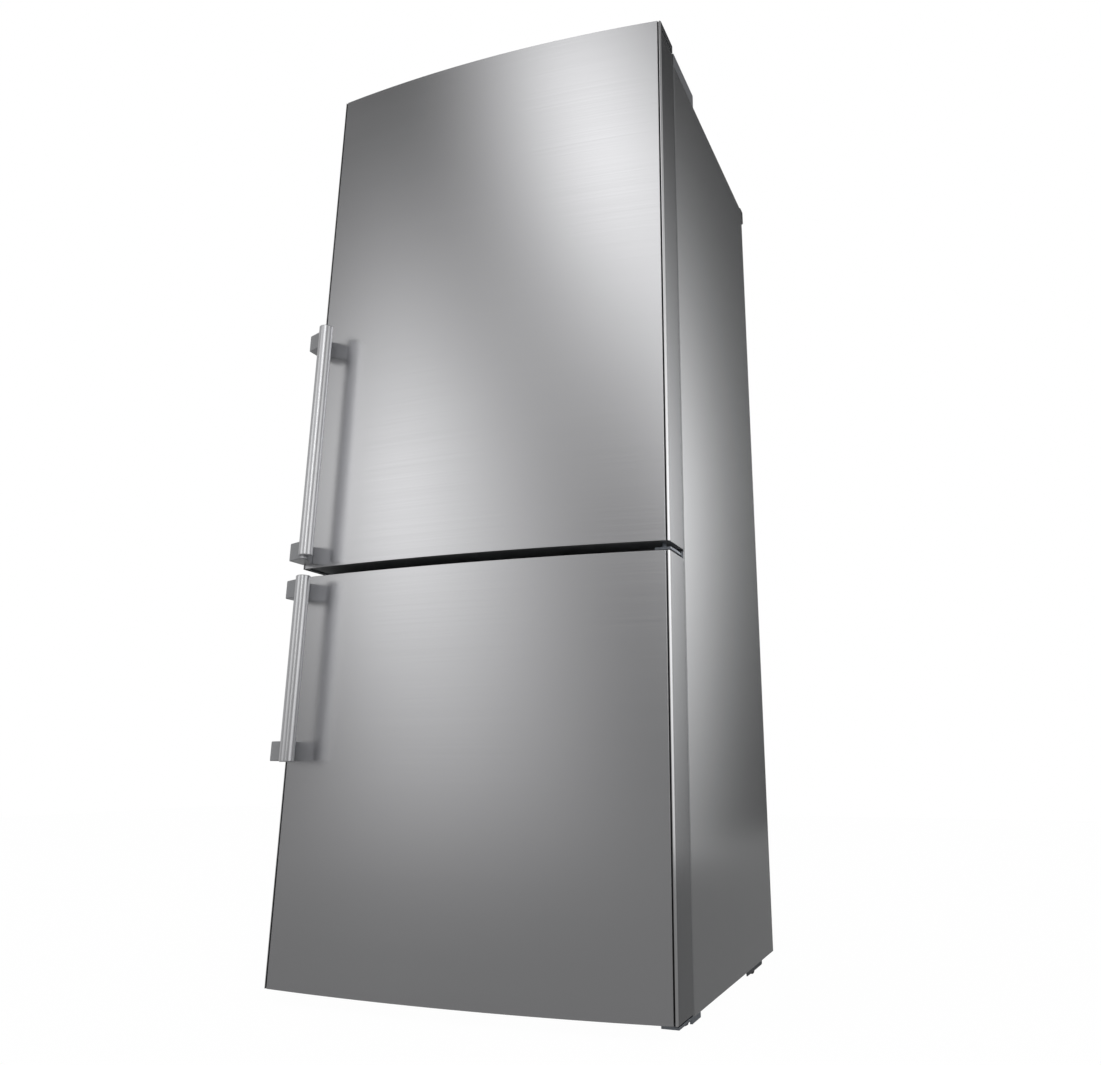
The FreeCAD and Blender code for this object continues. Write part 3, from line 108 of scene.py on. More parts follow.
# %% [markdown]
# ## One tree for every finish
#
# No real surface is one flat colour. Every finish of the fridge shares one tree: a slow drift of
# tone, a fine grain that moves the roughness, and a bump from the same grain. Image textures
# could give this too, but noise needs no files and has no seams. Each pattern is sized in
# millimetres and reads Object coordinates, so it stays on the piece wherever the piece moves.

# %% Finish helper


def empty_material(name):
    """A material without nodes, and its tree."""
    made = bpy.data.materials.new(name)
    made.use_nodes = True
    made.node_tree.nodes.clear()
    return made, made.node_tree


def surface(name, tones, roughness, grain_mm, bump_mm, drift_mm=180.0, detail=2.0, **sockets):
    """A finish: two tones that drift, a grain of a given size, and the shader's own sockets."""
    made, tree = empty_material(name)
    place = add(tree, "ShaderNodeTexCoord").outputs["Object"]
    drift = add(tree, "ShaderNodeTexNoise", {"Vector": place, "Scale": 1 / (drift_mm * MM)})
    scale = [1 / (size * MM) for size in grain_mm]
    stretched = add(tree, "ShaderNodeMapping", {"Vector": place, "Scale": scale})
    grain = add(tree, "ShaderNodeTexNoise",
                {"Vector": stretched.outputs["Vector"], "Scale": 1.0, "Detail": detail})
    tone = add(tree, "ShaderNodeMix", {"Factor": drift.outputs["Fac"]}, data_type="RGBA")
    tone.inputs[6].default_value = colour(tones[0])
    tone.inputs[7].default_value = colour(tones[1])
    matt = add(tree, "ShaderNodeMapRange", {"Value": grain.outputs["Fac"], "From Min": 0.3,
               "From Max": 0.7, "To Min": roughness[0], "To Max": roughness[1]})
    relief = add(tree, "ShaderNodeBump", {"Height": grain.outputs["Fac"], "Strength": 1.0,
                 "Distance": bump_mm * MM})
    shader = add(tree, "ShaderNodeBsdfPrincipled", {"Base Color": tone.outputs[2],
                 "Roughness": matt.outputs["Result"], "Normal": relief.outputs["Normal"], **sockets})
    add(tree, "ShaderNodeOutputMaterial", {"Surface": shader.outputs["BSDF"]})
    return made


print("finish helper ready")

# %% [markdown]
# ## The metals
#
# Stainless door sheet is ground with a belt that runs across the door, which leaves hair-fine
# lines side by side. The lines are far finer than a pixel, so they are drawn about a
# millimetre wide and very faint. The handles are drawn aluminium, ground along their length.
# The cabinet is steel sheet with a grey metallic lacquer, which mirrors more softly, and the
# doors' side bands have a darker copy of it, painted shade for the dimmer reflection they show.

# %% Metal finishes
brushed_stainless = surface(  # belt-ground 430 sheet: broad soft mirror, hair lines across
    "brushed_stainless_steel", ("#dddddf", "#dadadc"), (0.23, 0.27), (500.0, 500.0, 0.9), 0.0008,
    Metallic=1.0)
metallic_lacquer = surface(  # stoved lacquer with aluminium flake: grey, satin, even
    "grey_metallic_lacquer", ("#b7b8b9", "#b4b5b7"), (0.18, 0.22), (1.2, 1.2, 1.2), 0.002,
    Metallic=0.95)
# a darker copy of the cabinet's lacquer: painted shade for the bands' dimmer reflection
band_lacquer_with_painted_shade = surface(  # the same lacquer a shade deeper: grey, satin, even
    "deep_grey_metallic_lacquer", ("#929395", "#8f9092"), (0.2, 0.25), (1.2, 1.2, 1.2), 0.002,
    Metallic=0.95)
polished_strip = surface(  # buffed bright trim strip: a sharp, pale mirror line
    "polished_stainless_steel", ("#f4f4f5", "#efeff1"), (0.12, 0.16), (0.6, 0.6, 300.0), 0.0004,
    Metallic=1.0)
ground_aluminium = surface(  # drawn and long-ground tube: paler and softer than the doors
    "ground_aluminium", ("#f0f0f2", "#ebecee"), (0.28, 0.31), (0.6, 0.6, 400.0), 0.0003,
    Metallic=1.0)
cast_lacquer = surface(  # zinc casting under a silver lacquer: satin, pale
    "silver_lacquered_casting", ("#b9babc", "#b3b4b7"), (0.26, 0.32), (0.8, 0.8, 0.8), 0.002,
    Metallic=0.9)
zinc_plate = surface(  # bright zinc on pressed steel: bluish, slightly mottled
    "zinc_plated_steel", ("#a9aeb5", "#9aa0a8"), (0.3, 0.5), (5.0, 5.0, 5.0), 0.01,
    drift_mm=12.0, Metallic=1.0)
dark_zinc = surface(  # dark-passivated zinc: a dull blue-grey with a faint sheen
    "dark_passivated_zinc", ("#74777c", "#676a6f"), (0.35, 0.5), (4.0, 4.0, 4.0), 0.006,
    drift_mm=12.0, Metallic=1.0)
bright_screw = surface(  # nickel-plated screw steel: clean and bright
    "nickel_plated_steel", ("#c9c8c4", "#bdbcb8"), (0.18, 0.26), (0.6, 0.6, 0.6), 0.002,
    Metallic=1.0)
galvanised = surface(  # hot-dip zinc sheet: pale with grown crystals
    "galvanised_sheet", ("#b9bcbe", "#a7abae"), (0.4, 0.62), (9.0, 9.0, 9.0), 0.012,
    drift_mm=16.0, Metallic=0.8)
black_enamel = surface(  # stoved black enamel on a steel can: glossy, faint orange peel
    "black_stoving_enamel", ("#1c1d1f", "#17181a"), (0.28, 0.38), (2.5, 2.5, 2.5), 0.03,
    Metallic=0.0, IOR=1.5)
fin_aluminium = surface(  # thin rolled fin stock: pale and matt
    "rolled_fin_aluminium", ("#c6c9cb", "#b5b9bc"), (0.4, 0.55), (1.0, 8.0, 1.0), 0.008,
    Metallic=1.0)
tube_copper = surface(  # soft-drawn copper tube: warm, handled, slightly dulled
    "drawn_copper_tube", ("#c98a6b", "#a96c50"), (0.25, 0.4), (3.0, 3.0, 3.0), 0.004,
    drift_mm=25.0, Metallic=1.0)
print("metals ready")

# %% [markdown]
# ## Plastics, rubber, foam and glass
#
# The liners are vacuum-formed polystyrene: white, smooth, with a faint orange peel. Crispers
# and racks are moulded in clear styrene, drawers in a frosted grade. Shelves are toughened
# glass. What stands at the floor and the back is black polypropylene with a spark-eroded
# texture. Clear plastics get their see-through from the shader's own transmission socket.

# %% Other finishes
liner_white = surface(  # vacuum-formed polystyrene: bright, satin, faint orange peel
    "formed_polystyrene_white", ("#eef0f0", "#e9ecec"), (0.28, 0.36), (4.0, 4.0, 4.0), 0.02,
    IOR=1.55)
grey_moulding = surface(  # ABS in the cabinet's grey: fine texture, low sheen
    "moulded_abs_grey", ("#5c5d60", "#57585b"), (0.45, 0.55), (0.7, 0.7, 0.7), 0.02, IOR=1.53)
dark_moulding = surface(  # ABS in dark grey for the doors' end caps
    "moulded_abs_dark_grey", ("#6c6e71", "#67696c"), (0.45, 0.58), (0.7, 0.7, 0.7), 0.02, IOR=1.53)
black_moulding = surface(  # black polypropylene with a spark-eroded grain
    "moulded_polypropylene_black", ("#1f2022", "#1a1b1d"), (0.5, 0.65), (0.6, 0.6, 0.6), 0.03,
    IOR=1.49)
silver_moulding = surface(  # ABS under a silver lacquer: shelf trims and buttons
    "silver_lacquered_abs", ("#c3c5c8", "#bbbdc0"), (0.32, 0.4), (0.8, 0.8, 0.8), 0.006,
    Metallic=0.6)
clear_styrene = surface(  # clear styrene: glassy, a little cool
    "clear_moulded_styrene", ("#f0f6f8", "#eaf2f5"), (0.05, 0.1), (6.0, 6.0, 6.0), 0.006,
    **{"Transmission Weight": 0.88, "IOR": 1.5})
frosted_styrene = surface(  # the frosted grade: milky, soft light through it
    "frosted_moulded_styrene", ("#e4eef2", "#dbe7ec"), (0.34, 0.44), (1.2, 1.2, 1.2), 0.015,
    **{"Transmission Weight": 0.55, "IOR": 1.5})
toughened_glass = surface(  # float glass with ground edges: a faint green
    "toughened_float_glass", ("#e4f3ed", "#dff0e9"), (0.01, 0.03), (30.0, 30.0, 30.0), 0.001,
    **{"Transmission Weight": 0.96, "IOR": 1.52})
seal_vinyl = surface(  # soft vinyl extrusion: grey, dull, slightly waxy
    "extruded_soft_vinyl", ("#8d9093", "#86898c"), (0.5, 0.6), (0.9, 0.9, 6.0), 0.01, IOR=1.5)
foam_cream = surface(  # foamed-in polyurethane: cream, open and rough where it is cut
    "cut_polyurethane_foam", ("#eadfb6", "#dfd2a4"), (0.8, 0.95), (1.6, 1.6, 1.6), 0.25,
    drift_mm=40.0, detail=6.0, IOR=1.45)
opal_lens = surface(  # opal acrylic over the lamps: white and softly see-through
    "opal_acrylic", ("#f6f6f0", "#f1f1ea"), (0.25, 0.32), (3.0, 3.0, 3.0), 0.008,
    **{"Transmission Weight": 0.3, "IOR": 1.49})
print("finishes ready:", len(bpy.data.materials))

# %% [markdown]
# ## Clean meshes
#
# Every shape below starts as plain points and faces. Its doubled points are merged, its faces
# are turned outwards, and its sharp edges are broken, because no moulded or folded edge is truly
# sharp. A Bevel modifier could break them too, but one setting would then have to suit every
# shape that is merged into a piece.

# %% Mesh helpers


def mesh_from(name, points, faces, bevel=0.0, segments=2):
    """A clean mesh from points and faces."""
    mesh = bpy.data.meshes.new(name)
    mesh.from_pydata([tuple(point) for point in points], [], faces)
    return tidy_mesh(mesh, bevel, segments)


def tidy_mesh(mesh, bevel=0.0, segments=2, sharp=35.0):
    """Close seams, turn faces outwards, break edges that are sharper than the angle."""
    work = bmesh.new()
    work.from_mesh(mesh)
    bmesh.ops.remove_doubles(work, verts=work.verts, dist=1e-6)
    bmesh.ops.recalc_face_normals(work, faces=work.faces)
    if bevel:
        limit = math.radians(sharp)
        edges = [e for e in work.edges if len(e.link_faces) == 2 and e.calc_face_angle() > limit]
        bmesh.ops.bevel(work, geom=edges, offset=bevel, segments=segments, profile=0.5,
                        affect="EDGES", clamp_overlap=True)
    work.to_mesh(mesh)
    work.free()
    return mesh


def merged(*meshes):
    """Several meshes as one, each still a closed shape of its own."""
    work = bmesh.new()
    for mesh in meshes:
        work.from_mesh(mesh)
    result = bpy.data.meshes.new("merged")
    work.to_mesh(result)
    work.free()
    return result


print("mesh helpers ready")

# %% [markdown]
# ## Finished pieces
#
# A finished piece is an object at the origin, unturned, with its place in its mesh. It shows one
# finish, rides on the body that carries it, and stands for the construction solids that it
# replaces. Its faces are shaded smooth except across sharp edges, and weighted normals keep
# broad faces flat right up to their small bevels.

# %% Piece helpers


def placed(name, data):
    """An object in the scene, at the origin and unturned."""
    made = bpy.data.objects.new(name, data)
    bpy.context.scene.collection.objects.link(made)
    return made


def piece(name, mesh, finish, body, slot, *nodes, smooth=38.0):
    """A finished piece: it shows one finish, rides on a body and stands for its nodes."""
    mesh.name = name
    mesh.materials.clear()
    mesh.materials.append(finish)
    mesh.shade_smooth()
    mesh.set_sharp_from_angle(angle=math.radians(smooth))
    made = placed(name, mesh)
    made.modifiers.new("Flat faces", "WEIGHTED_NORMAL").keep_sharp = True
    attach(made, body)
    if nodes:
        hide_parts(*nodes)
    return made


print("piece helpers ready")

# %% [markdown]
# ## Skins and arcs
#
# Bowed sheets, tubes, seals and mouldings are all sections that change a little on their way. A
# curve with a bevel can carry a section along and scale it, but it can't change its shape. So
# one function lays a skin over rings of points, and another gives the points of an arc.

# %% Skin and arc helpers


def lofted(name, sections, closed=False, bevel=0.0, segments=2):
    """One skin over rings of points, capped at its two ends or closed on itself."""
    count = len(sections[0])
    points = [point for section in sections for point in section]
    faces = []
    for start in range(0, len(points) - (0 if closed else count), count):
        after = (start + count) % len(points)
        for i in range(count):
            j = (i + 1) % count
            faces.append((start + i, start + j, after + j, after + i))
    if not closed:
        faces += [tuple(range(count)), tuple(range(len(points) - count, len(points)))]
    return mesh_from(name, points, faces, bevel, segments)


def arc(centre, radius, start, end, steps=6):
    """Points on an arc, from one angle to another in degrees."""
    angles = [math.radians(start + (end - start) * step / steps) for step in range(steps + 1)]
    return [(centre[0] + radius * math.cos(a), centre[1] + radius * math.sin(a)) for a in angles]


print("skin and arc helpers ready")

# %% [markdown]
# ## Door fronts
#
# Each front is one sheet of stainless steel, bowed, with its two long edges turned back round a
# small radius. A bent plane would only come near the bow, and the long reflections show every
# dent. So the sheet is a skin over its exact plan line, and a few close rings at its two ends
# roll the cut edge in.

# %% Bowed sheets
BAND_ROUND = 3.4 * MM
GROOVE = 2.6 * MM
GROOVE_DEPTH = 7.0 * MM
GROOVE_WALL = HALF - BAND_ROUND
SHEET = 0.8 * MM
SHEET_EDGE = GROOVE_WALL - GROOVE
SHEET_ROUND = 1.0 * MM
END_SLOPE = 7  # degrees that the bow has turned where the sheet's edge begins
BOW_STEPS = 48


def front_path(inset):
    """Plan line of the bowed sheet, from its left turned edge to its right one."""
    edge = SHEET_EDGE - SHEET_ROUND
    corner = (-edge, bow_y(edge) + SHEET_ROUND)
    left = arc(corner, SHEET_ROUND - inset, 180, 270 - END_SLOPE, 5)
    right = [(-x, y) for x, y in reversed(left)]
    middle = [-edge + 2 * edge * step / BOW_STEPS for step in range(1, BOW_STEPS)]
    bowed = [(x, bow_y(x) + inset) for x in middle]
    tail = FACE + GROOVE_DEPTH
    return [(left[0][0], tail)] + left + bowed + right + [(right[-1][0], tail)]


def door_front(low, high):
    """The sheet from end to end. Its two ends are rolled in a little before they are cut."""
    rolled = [(0.5 * MM, 0.0), (0.15 * MM, 0.15 * MM), (0.0, 0.5 * MM)]
    levels = [(inset, low + rise) for inset, rise in rolled]
    levels += [(inset, high - rise) for inset, rise in reversed(rolled)]
    inner = front_path(SHEET)[::-1]
    return lofted("door_front", [[(x, y, level) for x, y in front_path(inset) + inner]
                                 for inset, level in levels])


print("sheet", round(2 * SHEET_EDGE / MM), "mm wide and", round(SHEET / MM, 1), "mm thick")

# %% [markdown]
# ## Shapes pushed straight
#
# Rolled strips, folded bands and blocks are the same all along. Each is a flat outline pushed
# along one axis, which is the skin of just two rings. A block is so common that it gets a
# function of its own, with its edges broken by default.

# %% Push and block helpers
# each matrix lays a shape's height along its axis
AXES = {"X": Matrix(((0, 0, 1), (1, 0, 0), (0, 1, 0))),
        "Y": Matrix(((0, 1, 0), (0, 0, 1), (1, 0, 0))),
        "Z": Matrix.Identity(3)}


def pushed(axis, outline, low, high, bevel=0.0, segments=2):
    """A flat outline pushed along an axis. Its two numbers are the next two axes in order."""
    turn = AXES[axis]
    sections = [[turn @ Vector((u, v, level)) for u, v in outline] for level in (low, high)]
    return lofted("pushed", sections, bevel=bevel, segments=segments)


def block(x, y, z, bevel=0.8 * MM, segments=2):
    """A block between pairs of places along X, Y and Z, with its edges broken."""
    points = [(x[i], y[j], z[k]) for k in (0, 1) for j in (0, 1) for i in (0, 1)]
    faces = [(0, 2, 3, 1), (4, 5, 7, 6), (0, 1, 5, 4), (2, 6, 7, 3), (0, 4, 6, 2), (1, 3, 7, 5)]
    return mesh_from("block", points, faces, bevel, segments)


print("push and block helpers ready")

# %% [markdown]
# ## Side bands and corner strips
#
# Beside the sheet runs a lacquered side band behind a bevelled corner strip of polished steel.
# Both could be cut out of a solid door side, but as real strips they catch their own lines of
# light. Their outlines are drawn for the right side and mirrored for the left. The upper door's
# right band leaves a slot for the arm of the top hinge.

# %% Side bands and corner strips
BAND_FRONT = FACE + BAND_ROUND
DOOR_BACK = skin_high.y
RETURN = 12.0 * MM
ARM_SLOT = (1.6855, 1.6915)  # its lower and upper edge
SLOT_FRONT = FACE + 9.0 * MM


def strip_outline():
    """Plan of the right corner strip: a broad bevel with its two edges softened."""
    front, bevel, soft = FACE, 2.6 * MM, 0.2 * MM
    return [(GROOVE_WALL, front), (HALF - bevel - soft, front),
            (HALF - bevel + soft, front + soft), (HALF - soft, front + bevel - soft),
            (HALF, front + bevel + soft), (HALF, BAND_FRONT), (GROOVE_WALL, BAND_FRONT)]


def band_outline():
    """Plan of the right side band, from the corner strip to its turned edge at the back."""
    inside, return_y = HALF - SHEET, DOOR_BACK - SHEET
    return [(GROOVE_WALL, FACE + GROOVE_DEPTH), (GROOVE_WALL, BAND_FRONT), (HALF, BAND_FRONT),
            (HALF, DOOR_BACK - MM), (HALF - MM, DOOR_BACK), (HALF - RETURN, DOOR_BACK),
            (HALF - RETURN, return_y), (inside, return_y), (inside, FACE + GROOVE_DEPTH)]


def mirrored(outline):
    """The same outline for the left side."""
    return [(-x, y) for x, y in reversed(outline)]


def door_bands(low, high, slotted):
    """Both side bands. The right one of the upper door leaves a slot for the hinge's arm."""
    full = band_outline()
    bands = [pushed("Z", mirrored(full), low, high)]
    if not slotted:
        return merged(*bands, pushed("Z", full, low, high))
    bands.append(pushed("Z", full, low, ARM_SLOT[0]))
    bands.append(pushed("Z", full, ARM_SLOT[1], high))
    bands.append(block((GROOVE_WALL, HALF), (BAND_FRONT, SLOT_FRONT), ARM_SLOT, 0.0))
    return merged(*bands)


print("side bands", round((DOOR_BACK - FACE) / MM), "mm deep")

# %% [markdown]
# ## Grooves
#
# Between sheet and strip is a narrow dark groove. From the side the two draw a dark line and a
# bright one down the door's corner. Dark paint on the sheet would look flat there, so the groove
# is a real gap with a black strip of painted shade at its bottom, which steps forward to close its
# two ends. With that, all of the doors' outer pieces can be made.

# %% Grooves and the doors' outer pieces


def groove_shade_strips(low, high):
    """Black strips of painted shade at the bottom of the grooves between sheet and bands, stepped out
    at the ends.
    """
    back, step, gap = FACE + GROOVE_DEPTH, 5.0 * MM, 0.6 * MM
    strips = []
    for side in (-1, 1):
        wall, near, under = side * GROOVE_WALL, side * SHEET_EDGE, side * (SHEET_EDGE - SHEET)
        strips.append(block((under, wall), (back - MM, back), (low, high), 0.0))
        for ends in ((low + gap, low + step), (high - step, high - gap)):
            strips.append(block((near, wall), (FACE + 1.5 * MM, back - MM), ends, 0.0))
    return merged(*strips)


DOORS = {"upper": ("fridge_door", skin_low.z, skin_high.z),
         "lower": ("freezer_door", lower_low.z, lower_high.z)}
strip_plans = (strip_outline(), mirrored(strip_outline()))
for door, (body, low, high) in DOORS.items():
    piece(door + "_door_front", door_front(low, high), brushed_stainless, body, "door_steel",
          door + "_door_skin", smooth=50.0)
    bands = door_bands(low, high, door == "upper")
    piece(door + "_door_bands", bands, band_lacquer_with_painted_shade, body, "cabinet_paint", smooth=50.0)
    strips = [pushed("Z", plan, low, high) for plan in strip_plans]
    piece(door + "_corner_strips", merged(*strips), polished_strip, body, "door_steel",
          smooth=30.0)
    # the black groove strips are painted shade that darkens the gap between sheet and band
    piece(door + "_groove_strips", groove_shade_strips(low, high), black_moulding, body, "black_moulding")
print("door fronts at", [round(v, 3) for v in (skin_low.z, skin_high.z, lower_low.z, lower_high.z)])

# %% [markdown]
# ## Door ends
#
# A folded sheet has open ends, so a moulded plug closes each. It is a dark grey tray with a
# shallow field inside a raised rim, set a hair below the sheet's edge. Sinking the field with a
# boolean would leave long thin faces, so the rim is a closed skin of its own on a solid plate.
# The plug at the upper door's top is deeper and has three layers, because the middle one leaves
# room for the hinge's arm to swing.

# %% Door end plugs
PLUG_INSET = 1.2 * MM
RIM = 4.0 * MM
FIELD_DEPTH = 2.5 * MM
PLAY = 0.4 * MM
SLOT_LEFT = 318.5 * MM  # where the arm's slot ends inside the door


def plug_outline(inset=0.0, back=DOOR_BACK - SHEET, slotted=False):
    """Plan inside a door's sheets, back corner to back corner along the bow."""
    edge, side = SHEET_EDGE - SHEET - PLAY - inset, HALF - SHEET - PLAY - inset
    step_y, back = FACE + GROOVE_DEPTH + 0.3 * MM + inset, back - inset
    steps = 24
    bowed = [-edge + 2 * edge * step / steps for step in range(steps + 1)]
    front = [(-side, back), (-side, step_y), (-edge, step_y)]
    front += [(x, bow_y(x) + SHEET + 0.2 * MM + inset) for x in bowed]
    front += [(edge, step_y), (side, step_y)]
    if slotted:
        return front + [(side, SLOT_FRONT), (SLOT_LEFT, SLOT_FRONT), (SLOT_LEFT, back)]
    return front + [(side, back)]


def plug(low, high, open_side):
    """A plug with a sunk field on its open side: a solid body and the rim round the field."""
    outer, inner = plug_outline(), plug_outline(RIM)
    if open_side < 0:
        rim, core = (low, low + FIELD_DEPTH), (low + FIELD_DEPTH, high)
    else:
        rim, core = (high - FIELD_DEPTH, high), (low, high - FIELD_DEPTH)
    walk = ((outer, rim[0]), (outer, rim[1]), (inner, rim[1]), (inner, rim[0]))
    sections = [[(x, y, level) for x, y in outline] for outline, level in walk]
    return merged(pushed("Z", outer, *core), lofted("rim", sections, closed=True))


for door, (body, low, high) in DOORS.items():
    foam_low, foam_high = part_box(door + "_door_foam")
    plugs = [plug(low + PLUG_INSET, foam_low.z, -1)]
    if door == "lower":
        plugs.append(plug(foam_high.z, high - PLUG_INSET, 1))
    else:
        plugs.append(pushed("Z", plug_outline(), foam_high.z, ARM_SLOT[0]))
        plugs.append(pushed("Z", plug_outline(slotted=True), *ARM_SLOT))
        plugs.append(plug(ARM_SLOT[1], high - PLUG_INSET, 1))
    piece(door + "_door_plugs", merged(*plugs), dark_moulding, body, "grey_moulding",
          door + "_door_caps", smooth=50.0)
print("door plugs made")

# %% [markdown]
# ## Turned shapes
#
# Bars, screws, feet, rollers and the compressor are round about an axis, as if they came off a
# lathe. A Screw modifier could spin a profile too, but it leaves many points on each pole. Here
# radii and heights become rings straight away, and a pole is one point.

# %% Lathe helper


def turned(axis, centre, profile, steps=48):
    """A lathe shape: pairs of radius and height along the axis, closed at both poles."""
    points, faces = [], []
    turn = AXES[axis]
    rings = []
    for radius, height in profile:
        if radius < 1e-7:
            rings.append([len(points)] * steps)
            points.append(Vector(centre) + turn @ Vector((0, 0, height)))
            continue
        rings.append(list(range(len(points), len(points) + steps)))
        for step in range(steps):
            angle = math.tau * step / steps
            spoke = Vector((radius * math.cos(angle), radius * math.sin(angle), height))
            points.append(Vector(centre) + turn @ spoke)
    pairs = list(zip(rings, rings[1:]))
    if profile[0][0] >= 1e-7:  # a bored shape closes on itself
        pairs.append((rings[-1], rings[0]))
    for first, second in pairs:
        for step in range(steps):
            after = (step + 1) % steps
            face = list(dict.fromkeys((first[step], first[after], second[after], second[step])))
            if len(face) > 2:
                faces.append(face)
    return mesh_from("turned", points, faces)


print("lathe helper ready")

# %% [markdown]
# ## Handles
#
# Each handle is a round aluminium bar, cut square with a small chamfer, held by two slanted
# lacquered blocks. A plain cylinder would have no chamfer to catch the light, so the bar is
# turned from half of its profile, mirrored at the middle. The blocks reach forward past the
# bar's middle and end in a slanted face. One plan outline pushed up by a block's height makes
# each, and a bevel rounds its edges.

# %% Handle bars and their blocks
BLOCK_REACH, BLOCK_SIDE, BLOCK_FRONT = 50.0 * MM, 39.0 * MM, 27.0 * MM
BLOCK_FOOT, BLOCK_HEIGHT, BLOCK_EDGE = 22.0 * MM, 32.0 * MM, 1.6 * MM


def bar_mesh(low, high):
    """A bar between the corners of its box, with a small chamfer at each end."""
    middle = (low + high) / 2
    radius, length = (high.x - low.x) / 2, high.z - low.z
    end = [(0, 0), (radius - 2.2 * MM, 0), (radius - 1.6 * MM, 0.15 * MM),
           (radius - 0.3 * MM, 1.1 * MM), (radius, 2.0 * MM)]
    profile = end + [(radius, length / 2)] + [(r, length - h) for r, h in reversed(end)]
    return turned("Z", (middle.x, middle.y, low.z), profile, 72)


def block_outline(bar, radius):
    """Plan of a handle block, from the door's left side round in front of the bar."""
    front, foot = FACE - BLOCK_REACH, -HALF + BLOCK_FOOT
    return [(-HALF, FACE + 0.5 * MM), (-HALF, FACE - BLOCK_SIDE), (-HALF + BLOCK_FRONT, front),
            (bar.x, front), (bar.x + 0.6 * MM, bar.y + radius / 2),
            (foot, bow_y(foot) + 0.4 * MM)]


for door, (body, *_) in DOORS.items():
    bar_low, bar_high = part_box(door + "_handle_bar")
    piece(door + "_bar", bar_mesh(bar_low, bar_high), ground_aluminium, body,
          "handle_aluminium", door + "_handle_bar", smooth=30.0)
    mounts_low, mounts_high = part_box(door + "_handle_mounts")
    outline = block_outline((bar_low + bar_high) / 2, (bar_high.x - bar_low.x) / 2)
    blocks = [pushed("Z", outline, start, start + BLOCK_HEIGHT, BLOCK_EDGE, 3)
              for start in (mounts_low.z, mounts_high.z - BLOCK_HEIGHT)]
    piece(door + "_blocks", merged(*blocks), cast_lacquer, body, "mount_metal",
          door + "_handle_mounts")
print("handles made, bars", round((bar_high.x - bar_low.x) / MM, 1), "mm across")

# %% [markdown]
# ## Cabinet wrap
#
# The sides and the top are one folded sheet. Its front edge is folded over a small radius, which
# catches a bright line, and turned in towards the room. A Solidify modifier would thicken it
# evenly but couldn't give that fold. So the fold's own section is carried up one side, across
# the top and down the other, with a mitre at each top corner.

# %% Cabinet wrap
FOLD, TURNED_IN, BACK_FLANGE = 2.4 * MM, 16.0 * MM, 9.0 * MM


def wrap_section():
    """Pairs of inward distance and depth: outer skin first, then the inner one back."""
    front, back = shell_low.y, shell_high.y
    bend = (FOLD, front + FOLD)
    outer = [(TURNED_IN, front)] + arc(bend, FOLD, 270, 180)
    outer += [(0.0, back - 1.2 * MM), (1.2 * MM, back), (BACK_FLANGE, back)]
    inner = [(BACK_FLANGE, back - SHEET), (SHEET + 0.4 * MM, back - SHEET), (SHEET, back - 2.0 * MM)]
    return outer + inner + arc(bend, FOLD - SHEET, 180, 270) + [(TURNED_IN, front + SHEET)]


def cabinet_wrap():
    """The section up one side, across the top and down the other, mitred at the corners."""
    low, high = shell_low.z, shell_high.z
    stations = ((-1, low, 0), (-1, high, 1), (1, high, 1), (1, low, 0))
    section = wrap_section()
    return lofted("wrap", [[(side * (HALF - inward), y, level - mitre * inward)
                            for inward, y in section] for side, level, mitre in stations])


piece("cabinet_wrap", cabinet_wrap(), metallic_lacquer, "cabinet", "cabinet_paint",
      "cabinet_shell", smooth=50.0)
print("cabinet wrap", round(shell_high.z - shell_low.z, 3), "m tall")

# %% [markdown]
# ## Solids that only need softer edges
#
# Some construction solids already have the right form: the strip between the rooms, the grey
# moulded lid over the upper hinge, and the two black corner blocks that keep the cabinet off the
# wall. Modelling them again would add nothing. Their loose triangles are joined back into clean
# faces, and their sharp edges are broken by as much as folding or moulding leaves.

# %% Strip, lid and corner blocks


def softened(node, bevel, segments=2):
    """A construction solid with clean faces and broken edges."""
    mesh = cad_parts[node].data.copy()
    work = bmesh.new()
    work.from_mesh(mesh)
    bmesh.ops.remove_doubles(work, verts=work.verts, dist=1e-5)
    bmesh.ops.dissolve_limit(work, angle_limit=math.radians(2), verts=work.verts, edges=work.edges)
    work.to_mesh(mesh)
    work.free()
    mesh.materials.clear()
    return tidy_mesh(mesh, bevel, segments)


piece("mullion_strip", softened("mullion_trim", 0.5 * MM), metallic_lacquer, "cabinet",
      "cabinet_paint", "mullion_trim")
piece("hinge_lid", softened("hinge_cover", 1.8 * MM, 3), grey_moulding, "cabinet",
      "grey_moulding", "hinge_cover")
piece("rear_corner_blocks", softened("rear_spacers", 3.0 * MM, 4), black_moulding, "cabinet",
      "black_moulding", "rear_spacers")
print("strip, lid and corner blocks softened")

# %% [markdown]
# ## Copies on a grid
#
# Screws, fins, slots and ribs repeat. An Array modifier repeats along one line only, so a
# Geometry Nodes tree lays a grid of points from two lines and sets a copy on each. It ends by
# making the copies real and giving them a finish, because the export drops instances.

# %% Grid tree


def new_tree(name, inputs):
    """A tree that takes a mesh and named values, and its group input's sockets."""
    tree = bpy.data.node_groups.new(name, "GeometryNodeTree")
    tree.interface.new_socket("Geometry", in_out="INPUT", socket_type="NodeSocketGeometry")
    for label, kind in inputs.items():
        tree.interface.new_socket(label, in_out="INPUT", socket_type="NodeSocket" + kind)
    tree.interface.new_socket("Geometry", in_out="OUTPUT", socket_type="NodeSocketGeometry")
    return tree, add(tree, "NodeGroupInput").outputs


def close_tree(tree, copies, finish):
    """End a tree: the copies made real, with their finish."""
    real = add(tree, "GeometryNodeRealizeInstances", {"Geometry": copies})
    dressed = add(tree, "GeometryNodeSetMaterial", {"Geometry": real.outputs[0], "Material": finish})
    add(tree, "NodeGroupOutput", {"Geometry": dressed.outputs[0]})
    return tree


